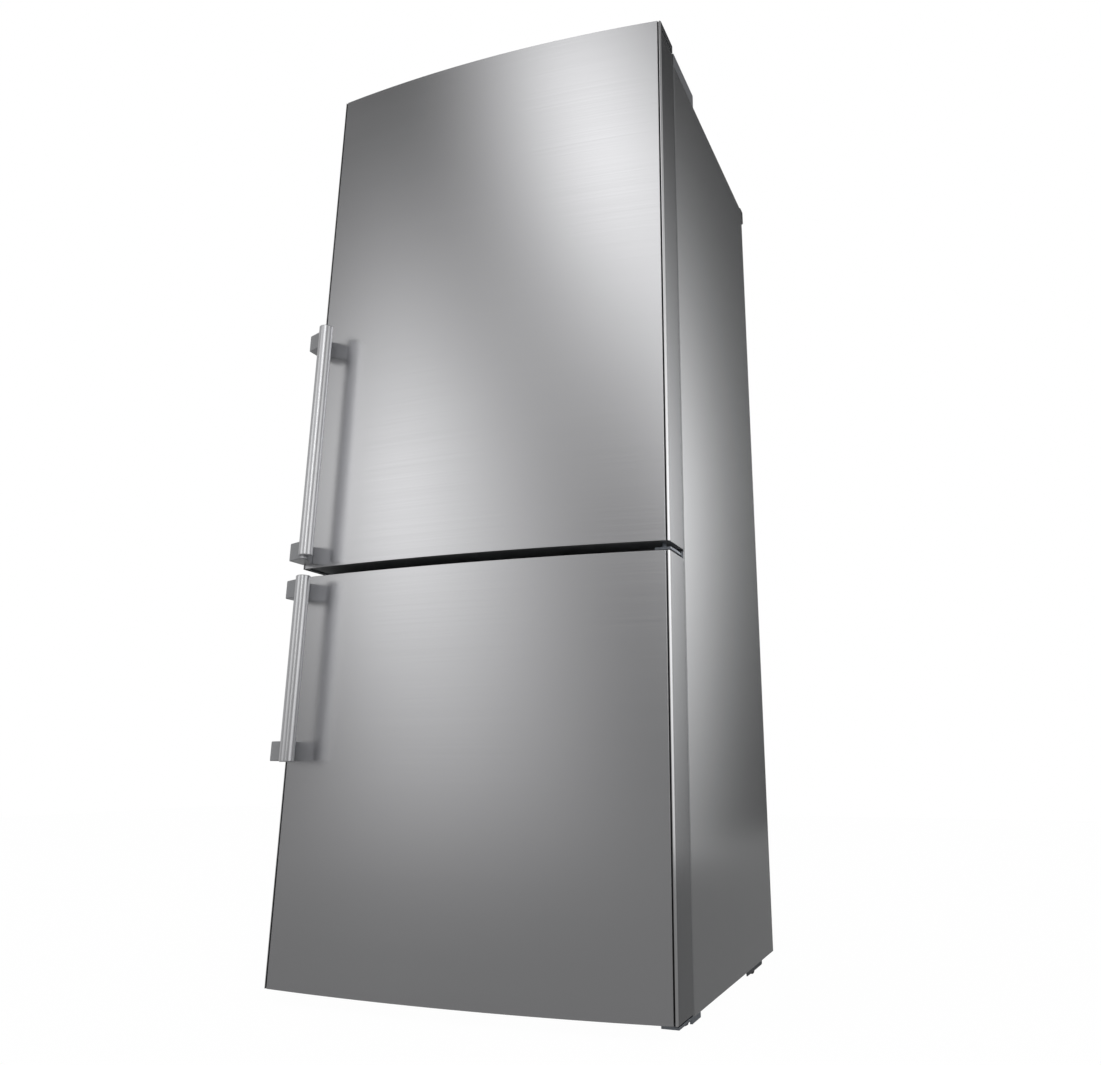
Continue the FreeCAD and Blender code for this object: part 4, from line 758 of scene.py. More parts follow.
def grid_tree():
    """A line of copies, laid again at each point of a second line."""
    tree, given = new_tree("grid_of_copies", {"Count": "Int", "Step": "Vector", "Rows": "Int",
                                              "Row step": "Vector", "Finish": "Material"})
    line = add(tree, "GeometryNodeMeshLine", {"Count": given["Count"], "Offset": given["Step"]})
    rows = add(tree, "GeometryNodeMeshLine", {"Count": given["Rows"], "Offset": given["Row step"]})
    laid = add(tree, "GeometryNodeInstanceOnPoints",
               {"Points": rows.outputs[0], "Instance": line.outputs[0]})
    points = add(tree, "GeometryNodeRealizeInstances", {"Geometry": laid.outputs[0]})
    copies = add(tree, "GeometryNodeInstanceOnPoints",
                 {"Points": points.outputs[0], "Instance": given["Geometry"]})
    return close_tree(tree, copies.outputs[0], given["Finish"])


GRID = grid_tree()
print("grid tree:", len(GRID.nodes), "nodes")

# %% [markdown]
# ## Running a tree
#
# A tree runs as a modifier on a holder object, which is gone afterwards. The modifier's inputs
# go by each socket's identifier, not its name, and are set before the object is first evaluated.
# The result is taken off as a plain mesh.

# %% Running a tree on a mesh


def repeated(tree, mesh, finish, **values):
    """Run a tree on a mesh and take the result off as a plain mesh."""
    holder = placed("holder", mesh)
    modifier = holder.modifiers.new("Copies", "NODES")
    modifier.node_group = tree
    for socket in tree.interface.items_tree:
        label = socket.name.replace(" ", "_").lower()
        if label == "finish":
            modifier[socket.identifier] = finish
        elif label in values:
            modifier[socket.identifier] = values[label]
    result = bpy.data.meshes.new_from_object(
        holder.evaluated_get(bpy.context.evaluated_depsgraph_get()))
    bpy.data.objects.remove(holder)
    return result


def row(mesh, finish, count, step, rows=1, row_step=(0.0, 0.0, 0.0)):
    """Copies in one row, or in several."""
    return repeated(GRID, mesh, finish, count=count, step=step, rows=rows, row_step=row_step)


print("copies can be made in rows")

# %% [markdown]
# ## Back sheet and rear cover
#
# The back is a galvanised sheet with pressed beads that stiffen it, and the machine room is
# closed by a slotted sheet with a lip beside each slot. Pressing the beads out of the sheet
# itself would need a dense mesh. One bead is turned and one lip pushed instead, each is sunk a
# little into its sheet, and both are copied along it.

# %% Back sheet and rear cover


def moved(mesh, *place):
    """The mesh, shifted to a place."""
    mesh.transform(Matrix.Translation(place))
    return mesh


back_low, back_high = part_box("back_panel")
BEADS, BEAD, BEAD_PITCH, BEAD_FOOT, BEAD_LENGTH = 7, 3 * MM, 90 * MM, 380 * MM, 1100 * MM
bead = turned("Z", (-BEAD_PITCH * (BEADS - 1) / 2, back_high.y - 0.4 * BEAD, BEAD_FOOT),
              [(0, 0), (BEAD * 0.6, BEAD), (BEAD, 3 * BEAD), (BEAD, BEAD_LENGTH),
               (BEAD * 0.6, BEAD_LENGTH + BEAD), (0, BEAD_LENGTH + 2 * BEAD)], 16)
beads = row(bead, galvanised, BEADS, (BEAD_PITCH, 0.0, 0.0))
piece("back_sheet", merged(softened("back_panel", 0.2 * MM), beads), galvanised, "cabinet",
      "back_sheet", "back_panel", smooth=45.0)

cover_low, cover_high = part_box("machine_cover")
VENTS, VENT_PITCH, VENT_WIDTH, VENT_HEIGHT = 18, 22.0 * MM, 8.0 * MM, 110.0 * MM
vent_mid, vent_edge = (cover_low.z + cover_high.z) / 2, VENT_WIDTH * 0.8
lip = pushed("Z", [(0, 0), (1.1 * MM, -0.2 * MM), (vent_edge, 3.2 * MM),
                   (vent_edge - 0.6 * MM, 4.2 * MM)],
             vent_mid - VENT_HEIGHT / 2, vent_mid + VENT_HEIGHT / 2)
moved(lip, -VENT_PITCH * (VENTS - 1) / 2 - VENT_WIDTH / 2, cover_high.y, 0)
lips = row(lip, galvanised, VENTS, (VENT_PITCH, 0.0, 0.0))
piece("rear_cover", merged(softened("machine_cover", 0.3 * MM), lips), galvanised, "cabinet",
      "back_sheet", "machine_cover", smooth=45.0)
print("back dressed with", BEADS, "beads and", VENTS, "vents")

# %% [markdown]
# ## Power inlet
#
# The power inlet is a moulded bush with a flange, pressed into the rear cover. A tube and a disc
# laid together would show a seam, so its whole section is turned at once. The section closes on
# itself, which leaves the bore open.

# %% Inlet bush
inlet_low, inlet_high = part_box("power_inlet")
inlet, depth = (inlet_low + inlet_high) / 2, inlet_high.y - inlet_low.y
INLET_R, INLET_BORE, INLET_RIM = 11.0 * MM, 4.5 * MM, 13.0 * MM
bush = [(INLET_BORE, 0), (INLET_R - MM, 0), (INLET_R, MM), (INLET_R, depth - 2 * MM),
        (INLET_RIM, depth - 2 * MM), (INLET_RIM, depth - MM), (INLET_RIM - MM, depth),
        (INLET_BORE + MM, depth), (INLET_BORE, depth - MM)]
piece("inlet_bush", turned("Y", (inlet.x, inlet_low.y, inlet.z), bush), black_moulding,
      "cabinet", "black_moulding", "power_inlet", smooth=30.0)
print("inlet bush", round(2 * INLET_RIM / MM), "mm across")

# %% [markdown]
# ## Hinge plates and base frame
#
# The hinges are pressed plates: bright zinc at the middle and the bottom, where they show, and
# dark zinc at the top, whose dark tone is also painted shade for the slot that its arm swings
# through. The base frame is folded sheet with the same dark zinc. Their outlines are in the
# construction model already, so they only get the broken edges that pressing leaves.

# %% Hinge plates and base frame
for node, finish, slot in (("bottom_hinge", zinc_plate, "zinc_steel"),
                           ("middle_hinge", zinc_plate, "screw_steel"),
                           # the top plate's dark zinc is also painted shade for the slot that its arm
                           # runs in
                           ("top_hinge", dark_zinc, "zinc_steel"),
                           ("base_frame", dark_zinc, "zinc_steel")):
    piece(node.replace("hinge", "hinge_plate") + "_dressed", softened(node, 0.7 * MM), finish,
          "cabinet", slot, node)
print("hinge plates and base frame dressed")

# %% [markdown]
# ## Screws
#
# The hinges' pan-headed screws have a cross recess. A boolean could cut it, but at this size
# nobody sees its depth, and a cut leaves ragged faces. So one head is turned, a thin black cross
# of painted shade stands for the recess on it, and both are copied to each place.

# %% Screws
HEAD_R, HEAD_H, SHANK_R, SHANK = 5.5 * MM, 2.5 * MM, 2.9 * MM, 4.0 * MM


def screw_mesh():
    """A pan head above Z = 0 with a shank below."""
    profile = [(0, -SHANK), (SHANK_R, -SHANK), (SHANK_R, 0), (HEAD_R, 0), (HEAD_R, HEAD_H * 0.3),
               (HEAD_R * 0.82, HEAD_H * 0.8), (HEAD_R * 0.55, HEAD_H), (0, HEAD_H)]
    return turned("Z", (0, 0, 0), profile, 24)


def recess_shade_mesh():
    """A thin black cross of painted shade that stands for the recess in the head."""
    arm, half, level = HEAD_R * 0.5, 0.7 * MM, (HEAD_H - 0.05 * MM, HEAD_H + 0.05 * MM)
    return merged(block((-arm, arm), (-half, half), level, 0.0),
                  block((-half, half), (-arm, arm), level, 0.0))


flange_low, flange_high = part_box("middle_hinge")
screws_low, screws_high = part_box("hinge_screws")
SCREW_PITCH = 40.0 * MM
screw_x = screws_low.x + HEAD_R
split_z = (flange_low.z + flange_high.z) / 2
face_on = Matrix.Rotation(math.radians(90), 4, "X")
screw_parts = []
for make, finish in ((screw_mesh, bright_screw), (recess_shade_mesh, black_moulding)):
    front = make()
    front.transform(face_on)
    moved(front, screw_x, shell_low.y - SHANK, split_z)
    above = moved(make(), screw_x, screws_high.y - HEAD_R - SCREW_PITCH, shell_high.z + SHANK)
    screw_parts.append(merged(row(front, finish, 2, (SCREW_PITCH, 0.0, 0.0)),
                              row(above, finish, 2, (0.0, SCREW_PITCH, 0.0))))
piece("pan_screws", screw_parts[0], bright_screw, "cabinet", "screw_steel", "hinge_screws")
# the black crosses are painted shade standing in for the screws' recesses
piece("screw_crosses", screw_parts[1], black_moulding, "cabinet", "black_moulding")
print("screws", round(2 * HEAD_R / MM), "mm across")

# %% [markdown]
# ## Copies round an axis
#
# Grip ribs and fan blades stand in a ring. A second tree turns its copies about Z in equal
# steps, then stands the ring up and carries it to its place. It shares its start, its end and
# the way that it is run with the first.

# %% Ring tree


def ring_tree():
    """Copies turned about Z in equal steps, then stood up and carried to a centre."""
    tree, given = new_tree("ring_of_copies", {"Count": "Int", "Centre": "Vector",
                                              "Stand": "Rotation", "Finish": "Material"})
    points = add(tree, "GeometryNodePoints", {"Count": given["Count"]})
    index = add(tree, "GeometryNodeInputIndex").outputs[0]
    share = add(tree, "ShaderNodeMath", {0: index, 1: given["Count"]}, operation="DIVIDE")
    angle = add(tree, "ShaderNodeMath", {0: share.outputs[0], 1: math.tau}, operation="MULTIPLY")
    turn = add(tree, "ShaderNodeCombineXYZ", {"Z": angle.outputs[0]})
    copies = add(tree, "GeometryNodeInstanceOnPoints", {
        "Points": points.outputs[0], "Instance": given["Geometry"], "Rotation": turn.outputs[0]})
    real = add(tree, "GeometryNodeRealizeInstances", {"Geometry": copies.outputs[0]})
    stood = add(tree, "GeometryNodeTransform", {
        "Geometry": real.outputs[0], "Translation": given["Centre"], "Rotation": given["Stand"]})
    return close_tree(tree, stood.outputs[0], given["Finish"])


RING = ring_tree()


def ring(mesh, finish, count, centre, stand=(0.0, 0.0, 0.0)):
    """Copies round an axis."""
    return repeated(RING, mesh, finish, count=count, centre=centre, stand=stand)


print("ring tree:", len(RING.nodes), "nodes")

# %% [markdown]
# ## Feet and rollers
#
# The front feet are black pads on threaded stems, with a ribbed rim to turn them by hand. A true
# helix isn't seen under a fridge, so the thread is a row of turned ridges at the real pitch. The
# rear rollers are nylon wheels with a hub and a groove in the tread, turned from half of their
# profile, mirrored, round an open bore.

# %% Feet and rollers
FOOT_R, FOOT_H, STEM_R, STEM_TOP = 17.0 * MM, 8.0 * MM, 5.0 * MM, 34.0 * MM
THREAD_PITCH, AXLE_BORE = 2.0 * MM, 3.05 * MM
rim = FOOT_R - 0.4 * MM
pad = [(0, 0), (FOOT_R - 1.5 * MM, 0), (rim, 0.6 * MM), (rim, 6 * MM), (FOOT_R - 2 * MM, FOOT_H),
       (STEM_R + 2 * MM, FOOT_H), (STEM_R + MM, FOOT_H), (0, FOOT_H)]
level = FOOT_H - MM
thread = [(0, level)]
while level < STEM_TOP - 1.5 * THREAD_PITCH:
    thread += [(STEM_R - 0.7 * MM, level), (STEM_R, level + THREAD_PITCH / 2)]
    level += THREAD_PITCH
thread += [(STEM_R - 0.8 * MM, STEM_TOP - 0.4 * MM), (STEM_R - 1.5 * MM, STEM_TOP), (0, STEM_TOP)]
rib = block((FOOT_R - 1.2 * MM, FOOT_R - 0.05 * MM), (-0.8 * MM, 0.8 * MM),
            (0.8 * MM, 5.8 * MM), 0.2 * MM, 1)
for side in ("left", "right"):
    low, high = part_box("front_foot_" + side)
    centre = ((low.x + high.x) / 2, (low.y + high.y) / 2, low.z)
    mesh = merged(turned("Z", centre, pad), ring(rib, black_moulding, 28, centre),
                  turned("Z", centre, thread, 32))
    piece("levelling_foot_" + side, mesh, black_moulding, "front_foot_" + side,
          "black_moulding", "front_foot_" + side)

    low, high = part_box("rear_roller_" + side)
    width, tread = high.x - low.x, (high.z - low.z) / 2
    hub, web = AXLE_BORE + 3 * MM, tread - 3 * MM
    wheel = [(AXLE_BORE, 0), (hub, 0), (hub, MM), (web, MM), (web, 0), (tread - MM, 0),
             (tread, MM), (tread, width / 2 - 1.2 * MM), (tread - MM, width / 2)]
    wheel += [(r, width - h) for r, h in reversed(wheel[:-1])]
    centre = (low.x, (low.y + high.y) / 2, (low.z + high.z) / 2)
    piece("roller_wheel_" + side, turned("X", centre, wheel), black_moulding,
          "rear_roller_" + side, "black_moulding", "rear_roller_" + side, smooth=30.0)
print("feet and rollers made")

# %% [markdown]
# ## Door seals
#
# Round the back of each door runs the magnetic seal: a soft extrusion with a magnet in its outer
# lip and a bellows that lets it pull tight. A curve with a bevel would round its corners, but
# real seals are welded in mitres. So its section is carried round a rectangle, and each ring
# stands on a corner's mitre.

# %% Seals
SEAL_WIDTH = 12.0 * MM
SEAL_SECTION = ((0.8, 1.0), (0.2, 0.9), (0.0, 0.75), (0.1, 0.6), (0.35, 0.5), (0.15, 0.35),
                (0.3, 0.2), (0.3, 0.0), (0.7, 0.0), (0.7, 0.2), (0.85, 0.35), (0.65, 0.5),
                (0.9, 0.6), (1.0, 0.75), (0.95, 0.9))  # shares of its width and depth


def seal_ring(node):
    """The seal's section carried round its rectangle, inwards and out from the liner."""
    low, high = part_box(node)
    depth = high.y - low.y
    corners = ((low.x, low.z, 1, 1), (high.x, low.z, -1, 1), (high.x, high.z, -1, -1),
               (low.x, high.z, 1, -1))
    return lofted("seal", [[(x + sx * u * SEAL_WIDTH, low.y + v * depth, z + sz * u * SEAL_WIDTH)
                            for u, v in SEAL_SECTION] for x, z, sx, sz in corners], closed=True)


print("seal section of", len(SEAL_SECTION), "points,", round(SEAL_WIDTH / MM), "mm wide")

# %% [markdown]
# ## Door inner sheets
#
# Behind each front is a formed white sheet with a raised dyke, sucked over a mould while warm.
# Raising the dyke from a plane would leave uneven corners. The sheet is lofted through rounded
# rectangles instead, which step in from its edge over the dyke to the flat middle, with radii
# that shrink on the way as a mould's do.

# %% Inner sheets and the doors' insides


def ringed(axis, rings, steps):
    """A closed loft through rounded rectangles: two spans, a level and a corner radius each."""
    turn = AXES[axis]
    sections = []
    for low_u, high_u, low_v, high_v, level, radius in rings:
        corners = ((high_u - radius, high_v - radius), (low_u + radius, high_v - radius),
                   (low_u + radius, low_v + radius), (high_u - radius, low_v + radius))
        sections.append([turn @ Vector((u, v, level)) for quarter, corner in enumerate(corners)
                         for u, v in arc(corner, radius, 90 * quarter, 90 * quarter + 90, steps)])
    return lofted("ringed", sections)


DYKE_CLEARANCE, LINER_SHEET = 8.0 * MM, 2.0 * MM
ROOM_HALF = {"upper": 0.305, "lower": 0.290}  # half of each room's width
ROOM_SPAN = {"upper": (0.72425, 1.6215), "lower": (0.0895, 0.67425)}  # floor and ceiling


def inner_sheet(door):
    """The formed sheet: flat edge, rounded dyke and flat middle, in rings from the back."""
    low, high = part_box(door + "_door_liner")
    half = ROOM_HALF[door] - DYKE_CLEARANCE
    floor, ceiling = ROOM_SPAN[door][0] + DYKE_CLEARANCE, ROOM_SPAN[door][1] - DYKE_CLEARANCE
    flat, crest = low.y + LINER_SHEET, high.y
    edge = (low.z, high.z, low.x, high.x)
    rings = [(*edge, low.y, 2 * MM), (*edge, flat, 2 * MM)]
    steps = [(-2.5, flat, 16), (-0.8, flat + 0.6 * MM, 15), (0, flat + 2.5 * MM, 14),
             (1.2, crest - 5 * MM, 13), (2.6, crest - 1.6 * MM, 12), (5.5, crest, 10),
             (19.0, crest, 9), (22.0, crest - 1.6 * MM, 8), (23.6, crest - 5 * MM, 8),
             (24.8, flat + 2.5 * MM, 7), (25.4, flat + 0.6 * MM, 7), (27.0, flat, 6)]
    for inset, depth, radius in steps:
        inset *= MM
        rings.append((floor + inset, ceiling - inset, inset - half, half - inset, depth,
                      radius * MM))
    return ringed("Y", rings, 6)


for door, (body, *_) in DOORS.items():
    piece(door + "_seal", seal_ring(door + "_door_gasket"), seal_vinyl, body, "seal_rubber",
          door + "_door_gasket", smooth=60.0)
    piece(door + "_inner_sheet", inner_sheet(door), liner_white, body, "white_liner",
          door + "_door_liner")
print("door insides made")

# %% [markdown]
# ## Open mouldings
#
# The racks, crispers and drawers are open mouldings. A box with a Solidify modifier would have
# upright, even walls, but a moulded wall is drafted, so that it leaves the mould, and ends in a
# rolled lip. So each is one loft of rounded rectangles: up the drafted wall, out over the lip,
# and down again inside to the floor. Ribs stiffen the front. Clear pieces show every rib, so a
# few go a long way.

# %% Tray and rib helpers
LIP, WALL, TRAY_CORNER = 3.0 * MM, 2.5 * MM, 14.0 * MM


def moulded_tray(node, front, corner):
    """An open tray in rings: base, drafted wall, rolled lip, and the wall again inside."""
    low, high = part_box(node)
    hang = max(front - WALL, LIP)

    def span(inset, front_inset, level, radius):
        return (low.x + inset, high.x - inset, low.y + front_inset, high.y - inset, level, radius)

    draft, soft = 2.0 * MM, 0.7 * MM
    inner = corner - WALL
    rings = [span(LIP + draft + 3 * MM, hang + 3 * MM, low.z, corner - 3 * MM),
             span(LIP + draft + soft, hang + soft, low.z + soft, corner - soft),
             span(LIP + draft, hang, low.z + 3 * MM, corner),
             span(LIP, hang, high.z - 5 * MM, corner), span(soft, soft, high.z - 4.6 * MM, corner),
             span(0, 0, high.z - 4 * MM, corner), span(0, 0, high.z - soft, corner),
             span(soft, soft, high.z, corner), span(LIP + WALL - soft, front - soft, high.z, inner),
             span(LIP + WALL, front, high.z - soft, inner),
             span(LIP + draft + WALL, front + soft, low.z + WALL + 4 * MM, inner),
             span(LIP + draft + WALL + 4 * MM, front + 4 * MM, low.z + WALL, inner - 4 * MM)]
    return ringed("Z", rings, 5)


def front_ribs(node, finish, count, wall_y, reach):
    """Upright ribs on a moulding's wall, from just inside it to their reach."""
    low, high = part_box(node)
    span = (high.x - low.x) * 0.84
    start = (low.x + high.x) / 2 - span / 2
    one = block((start - 1.1 * MM, start + 1.1 * MM), (wall_y - reach, wall_y + reach),
                (low.z + 12 * MM, high.z - 26 * MM), 0.5 * MM, 1)
    return row(one, finish, count, (span / (count - 1), 0.0, 0.0))


print("tray and rib helpers ready")

# %% [markdown]
# ## Door racks
#
# Two clear racks hang on the upper door's inner sheet, with ribs on the side that faces the
# room. Above them is the dairy rack, whose frosted flap gets a small lip to lift it by. The
# dairy rack's solids are right as they are and need only broken edges.

# %% Door racks and dairy rack
for node in ("door_bin_low", "door_bin_mid"):
    low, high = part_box(node)
    mesh = merged(moulded_tray(node, LIP + WALL, TRAY_CORNER),
                  front_ribs(node, clear_styrene, 9, high.y - LIP, 1.2 * MM))
    piece(node + "_rack", mesh, clear_styrene, "fridge_door", "clear_plastic", node)
piece("dairy_rack", softened("dairy_box", 0.8 * MM), clear_styrene, "fridge_door",
      "clear_plastic", "dairy_box")
flap_low, flap_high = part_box("dairy_flap")
flap_lip = block((-0.05, 0.05), (flap_high.y - 1.6 * MM, flap_high.y + 4.0 * MM),
                 (flap_low.z + 1 * MM, flap_low.z + 5 * MM), 1.2 * MM, 3)
piece("dairy_lid", merged(softened("dairy_flap", 0.5 * MM), flap_lip), frosted_styrene,
      "dairy_flap", "frosted_plastic", "dairy_flap")
print("door racks made")

# %% [markdown]
# ## Crispers and drawers
#
# The crispers are clear and the freezer's drawers frosted, and each has a lip to pull by under
# its front rim. The lip could be part of the loft, but it spans only the middle of the front, so
# it is an outline pushed across and merged in.

# %% Crispers and drawers


def grip(node, width, hang):
    """A lip that hangs from the front rim and leaves room for the fingers behind it."""
    low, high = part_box(node)
    middle = (low.x + high.x) / 2
    top, face = high.z - MM, low.y
    shape = [(face, top), (face, top - 17 * MM), (face + 1.2 * MM, top - 19 * MM),
             (face + 2.6 * MM, top - 17 * MM), (face + 2.6 * MM, top - 3.5 * MM),
             (face + hang + MM, top - 3.5 * MM), (face + hang + MM, top)]
    return pushed("X", shape, middle - width / 2, middle + width / 2, 0.6 * MM)


for nodes, front, width, ribs, finish, slot in (
        (("crisper_left", "crisper_right"), 10 * MM, 0.16, 7, clear_styrene, "clear_plastic"),
        (("freezer_drawer_low", "freezer_drawer_mid", "freezer_drawer_top"), 12 * MM, 0.22, 11,
         frosted_styrene, "frosted_plastic")):
    hang = front - WALL
    for node in nodes:
        wall_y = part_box(node)[0].y + hang
        mesh = merged(moulded_tray(node, front, TRAY_CORNER), grip(node, width, hang),
                      front_ribs(node, finish, ribs, wall_y, 1.0 * MM))
        piece(node + "_box", mesh, finish, node, slot, node)
print("crispers and drawers made")

# %% [markdown]
# ## Rooms and shelves
#
# The two rooms are formed white liners. The glass shelves sit on their ledges, each with a
# silver front trim, and the crispers' cover is a white panel with a raised front edge. Their
# construction solids already have the right form, so a loop breaks their edges, each by as much
# as its process leaves.

# %% Liners, glass and trims
for node, bevel, finish, slot in (("fridge_liner", 1.2 * MM, liner_white, "white_liner"),
                                  ("freezer_liner", 1.2 * MM, liner_white, "white_liner"),
                                  ("fridge_shelves", 0.8 * MM, toughened_glass, "shelf_glass"),
                                  ("freezer_shelves", 0.8 * MM, toughened_glass, "shelf_glass"),
                                  ("shelf_trims", 1.5 * MM, silver_moulding, "silver_trim"),
                                  ("crisper_cover", 3.0 * MM, liner_white, "white_liner"),
                                  ("evaporator_cover", 0.8 * MM, liner_white, "white_liner"),
                                  ("ice_frame", 0.8 * MM, liner_white, "white_liner")):
    piece(node + "_dressed", softened(node, bevel), finish, "cabinet", slot, node)
print("rooms and shelves dressed")

# %% [markdown]
# ## Air duct and lamp lens
#
# Cold air comes out of slots in the duct at the back, and a ribbed lens covers the lamps at the
# top. A bump pattern would vanish at the edges where it matters, so the slats and prisms are
# real: one of each is made and copied along its piece.

# %% Air duct and lamp lens
duct_low, duct_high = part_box("air_duct")
slat = block((-0.03, 0.03), (duct_low.y + 2 * MM, duct_low.y + 6 * MM), (0, 1.6 * MM), 0.4 * MM, 1)
SLOTS, SLOT_PITCH, FIRST_SLAT = 4, 170 * MM, 37.8 * MM
slats = row(slat, liner_white, 2, (0.0, 0.0, 3.5 * MM), SLOTS, (0.0, 0.0, SLOT_PITCH))
moved(slats, 0, 0, duct_low.z + FIRST_SLAT)
piece("duct_panel", merged(softened("air_duct", 2.5 * MM, 3), slats), liner_white, "cabinet",
      "white_liner", "air_duct")

lamp_low, lamp_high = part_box("lamp_cover")
PRISMS, PRISM_PITCH = 15, 4.0 * MM
prism = block((lamp_low.x + 4 * MM, lamp_high.x - 4 * MM),
              (lamp_low.y + 6 * MM, lamp_low.y + 8 * MM),
              (lamp_low.z - 0.8 * MM, lamp_low.z + MM), 0.7 * MM, 2)
prisms = row(prism, opal_lens, PRISMS, (0.0, PRISM_PITCH, 0.0))
piece("lamp_lens", merged(softened("lamp_cover", 3.0 * MM, 3), prisms), opal_lens, "cabinet",
      "lamp_lens", "lamp_cover")
print(2 * SLOTS, "slats and", PRISMS, "prisms")

# %% [markdown]
# ## Control panel
#
# The panel hangs under the fridge room's ceiling, with a row of small level lamps and two
# silver buttons. The lamps are turned and copied. Each button gets a raised field for the
# finger, which an inset of its face could give as well, but a merged block keeps its bevels
# even.

# %% Control panel
panel_low, panel_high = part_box("control_panel")
piece("temperature_panel", softened("control_panel", 1.5 * MM, 3), liner_white, "cabinet",
      "white_liner", "control_panel")
LEVELS, LEVEL_PITCH = 4, 8 * MM
pip = turned("Z", (-LEVEL_PITCH * (LEVELS - 1) / 2, panel_low.y + 20 * MM, panel_low.z),
             [(0, -0.6 * MM), (1.3 * MM, -0.5 * MM), (1.5 * MM, 0.4 * MM), (0, 0.5 * MM)], 16)
piece("level_lamps", row(pip, silver_moulding, LEVELS, (LEVEL_PITCH, 0.0, 0.0)), silver_moulding,
      "cabinet", "silver_trim")
for node in ("fridge_button", "freezer_button"):
    low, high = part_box(node)
    field = block((low.x + 3 * MM, high.x - 3 * MM), (low.y + 2.5 * MM, high.y - 2.5 * MM),
                  (low.z - 0.35 * MM, low.z + MM), 0.5 * MM, 2)
    piece(node + "_cap", merged(softened(node, 1.2 * MM, 4), field), silver_moulding, node,
          "silver_trim", node)
print("control panel with", LEVELS, "level lamps")

# %% [markdown]
# ## Ice tray
#
# The tray is frosted plastic with cells, and turns on two stub axles by a knob at its front. Its
# solid has the cells already. The knob gets grip ribs round its rim from the ring tree, which
# stands their ring upright at the axle's height.

# %% Ice tray
tray_low, tray_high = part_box("ice_tray")
AXLE_Z, KNOB_R, KNOB_INSET, KNOB_RIBS = 640.25 * MM, 14 * MM, 12 * MM, 20
knob_rib = block((KNOB_R - 0.8 * MM, KNOB_R), (-0.9 * MM, 0.9 * MM), (1.5 * MM, 10.5 * MM),
                 0.3 * MM, 1)
knob_ribs = ring(knob_rib, frosted_styrene, KNOB_RIBS, (0.0, tray_low.y + KNOB_INSET, AXLE_Z),
                 (math.radians(90), 0.0, 0.0))
piece("ice_cube_tray", merged(softened("ice_tray", 0.7 * MM), knob_ribs), frosted_styrene,
      "ice_tray", "frosted_plastic", "ice_tray")
print("ice tray made")

# %% [markdown]
# ## Coils
#
# Evaporator and condenser are the same kind of thing: copper or steel tube that runs to and fro
# through thin fins. One long curve could follow the tube, but the fins and runs repeat on a
# grid, so one of each is copied, and return bends join each pair of runs at the ends. A bend is
# a skin over rings that stand on a half circle.

# %% Return bends


def bend_mesh(radius, tube, side, steps=10, around=10):
    """A half ring of tube in the XZ plane that bulges out along X on one side."""
    sections = []
    for step in range(steps + 1):
        angle = math.pi * step / steps
        out = Vector((side * math.sin(angle), 0, -math.cos(angle)))
        spins = [math.tau * turn / around for turn in range(around)]
        sections.append([radius * out + tube * (out * math.cos(spin) + Vector((0, math.sin(spin), 0)))
                         for spin in spins])
    return lofted("bend", sections)


print("return bends ready")

# %% [markdown]
# ## Fins and tubes
#
# One function dresses both coils from a count of rows and a count of fins. The fins are plain
# thin blocks, because there are many and only their edges show.

# %% Fins and tubes
TUBE, TUBE_PITCH, TUBE_SETBACK, FIN_PITCH = 4.0 * MM, 25.0 * MM, 14.0 * MM, 18.0 * MM


def dressed_coil(node, rows, fins, tube_finish, fin_finish, slot):
    """Fins, and two layers of tube runs with their bends, inside a coil's box."""
    low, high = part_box(node)
    fin = block((low.x + FIN_PITCH, low.x + FIN_PITCH + 0.5 * MM), (low.y, high.y),
                (low.z, high.z), 0.0)
    stack = row(fin, fin_finish, fins * 2 - 1, (FIN_PITCH / 2, 0.0, 0.0))
    piece(node + "_fins", stack, fin_finish, "cabinet", slot, node)
    near, far, depth = low.x + TUBE_SETBACK, high.x - TUBE_SETBACK, high.y - low.y
    tube_y, layers = low.y + depth / 4, (2, (0.0, depth / 2, 0.0))
    run = turned("X", (near, tube_y, low.z + TUBE_PITCH / 2),
                 [(0, 0), (TUBE, 0), (TUBE, far - near), (0, far - near)], 16)
    parts = [row(run, tube_finish, rows, (0.0, 0.0, TUBE_PITCH), *layers)]
    for side, x, first in ((1, far, 0), (-1, near, 1)):
        bend = bend_mesh(TUBE_PITCH / 2, TUBE, side)
        moved(bend, x, tube_y, low.z + TUBE_PITCH * (first + 1))
        parts.append(row(bend, tube_finish, (rows - first) // 2, (0.0, 0.0, 2 * TUBE_PITCH),
                         *layers))
    piece(node + "_tubes", merged(*parts), tube_finish, "cabinet", slot, smooth=60.0)


dressed_coil("evaporator", 8, 25, tube_copper, fin_aluminium, "coil_metal")
dressed_coil("condenser", 6, 6, black_enamel, black_enamel, "compressor_enamel")
print("coils made")

# %% [markdown]
# ## Fan blades
#
# A small axial fan has twisted blades: each is flatter at its tip than at its root, because the
# tip moves faster. Twisting a flat strip with a modifier would shear its ends, so the blade is a
# skin over strips of chord, each with its own pitch and a slight camber.

# %% Fan blades
ROOT_PITCH, TIP_PITCH, CAMBER = 42, 24, 1.2 * MM


def blade_mesh(root, tip, chord, depth, thick=1.0 * MM):
    """A blade along +X: strips of chord that flatten from root to tip, with real thickness."""
    sections, spans, steps = [], 6, 6
    for span in range(spans + 1):
        share = span / spans
        reach = root + (tip - root) * share
        pitch = math.radians(ROOT_PITCH - (ROOT_PITCH - TIP_PITCH) * share)
        width = chord * (0.8 + 0.5 * share)
        faces_of_blade = []
        for side in (1, -1):
            line = []
            for step in range(steps + 1):
                along = step / steps - 0.5
                camber = (0.25 - along ** 2) * 4 * CAMBER
                z = along * width * math.sin(pitch) + camber + side * thick / 2
                line.append((reach, along * width * math.cos(pitch),
                             max(-depth / 2, min(depth / 2, z))))
            faces_of_blade.append(line[::side])
        sections.append(faces_of_blade[0] + faces_of_blade[1])
    return lofted("blade", sections)


print("blades ready")

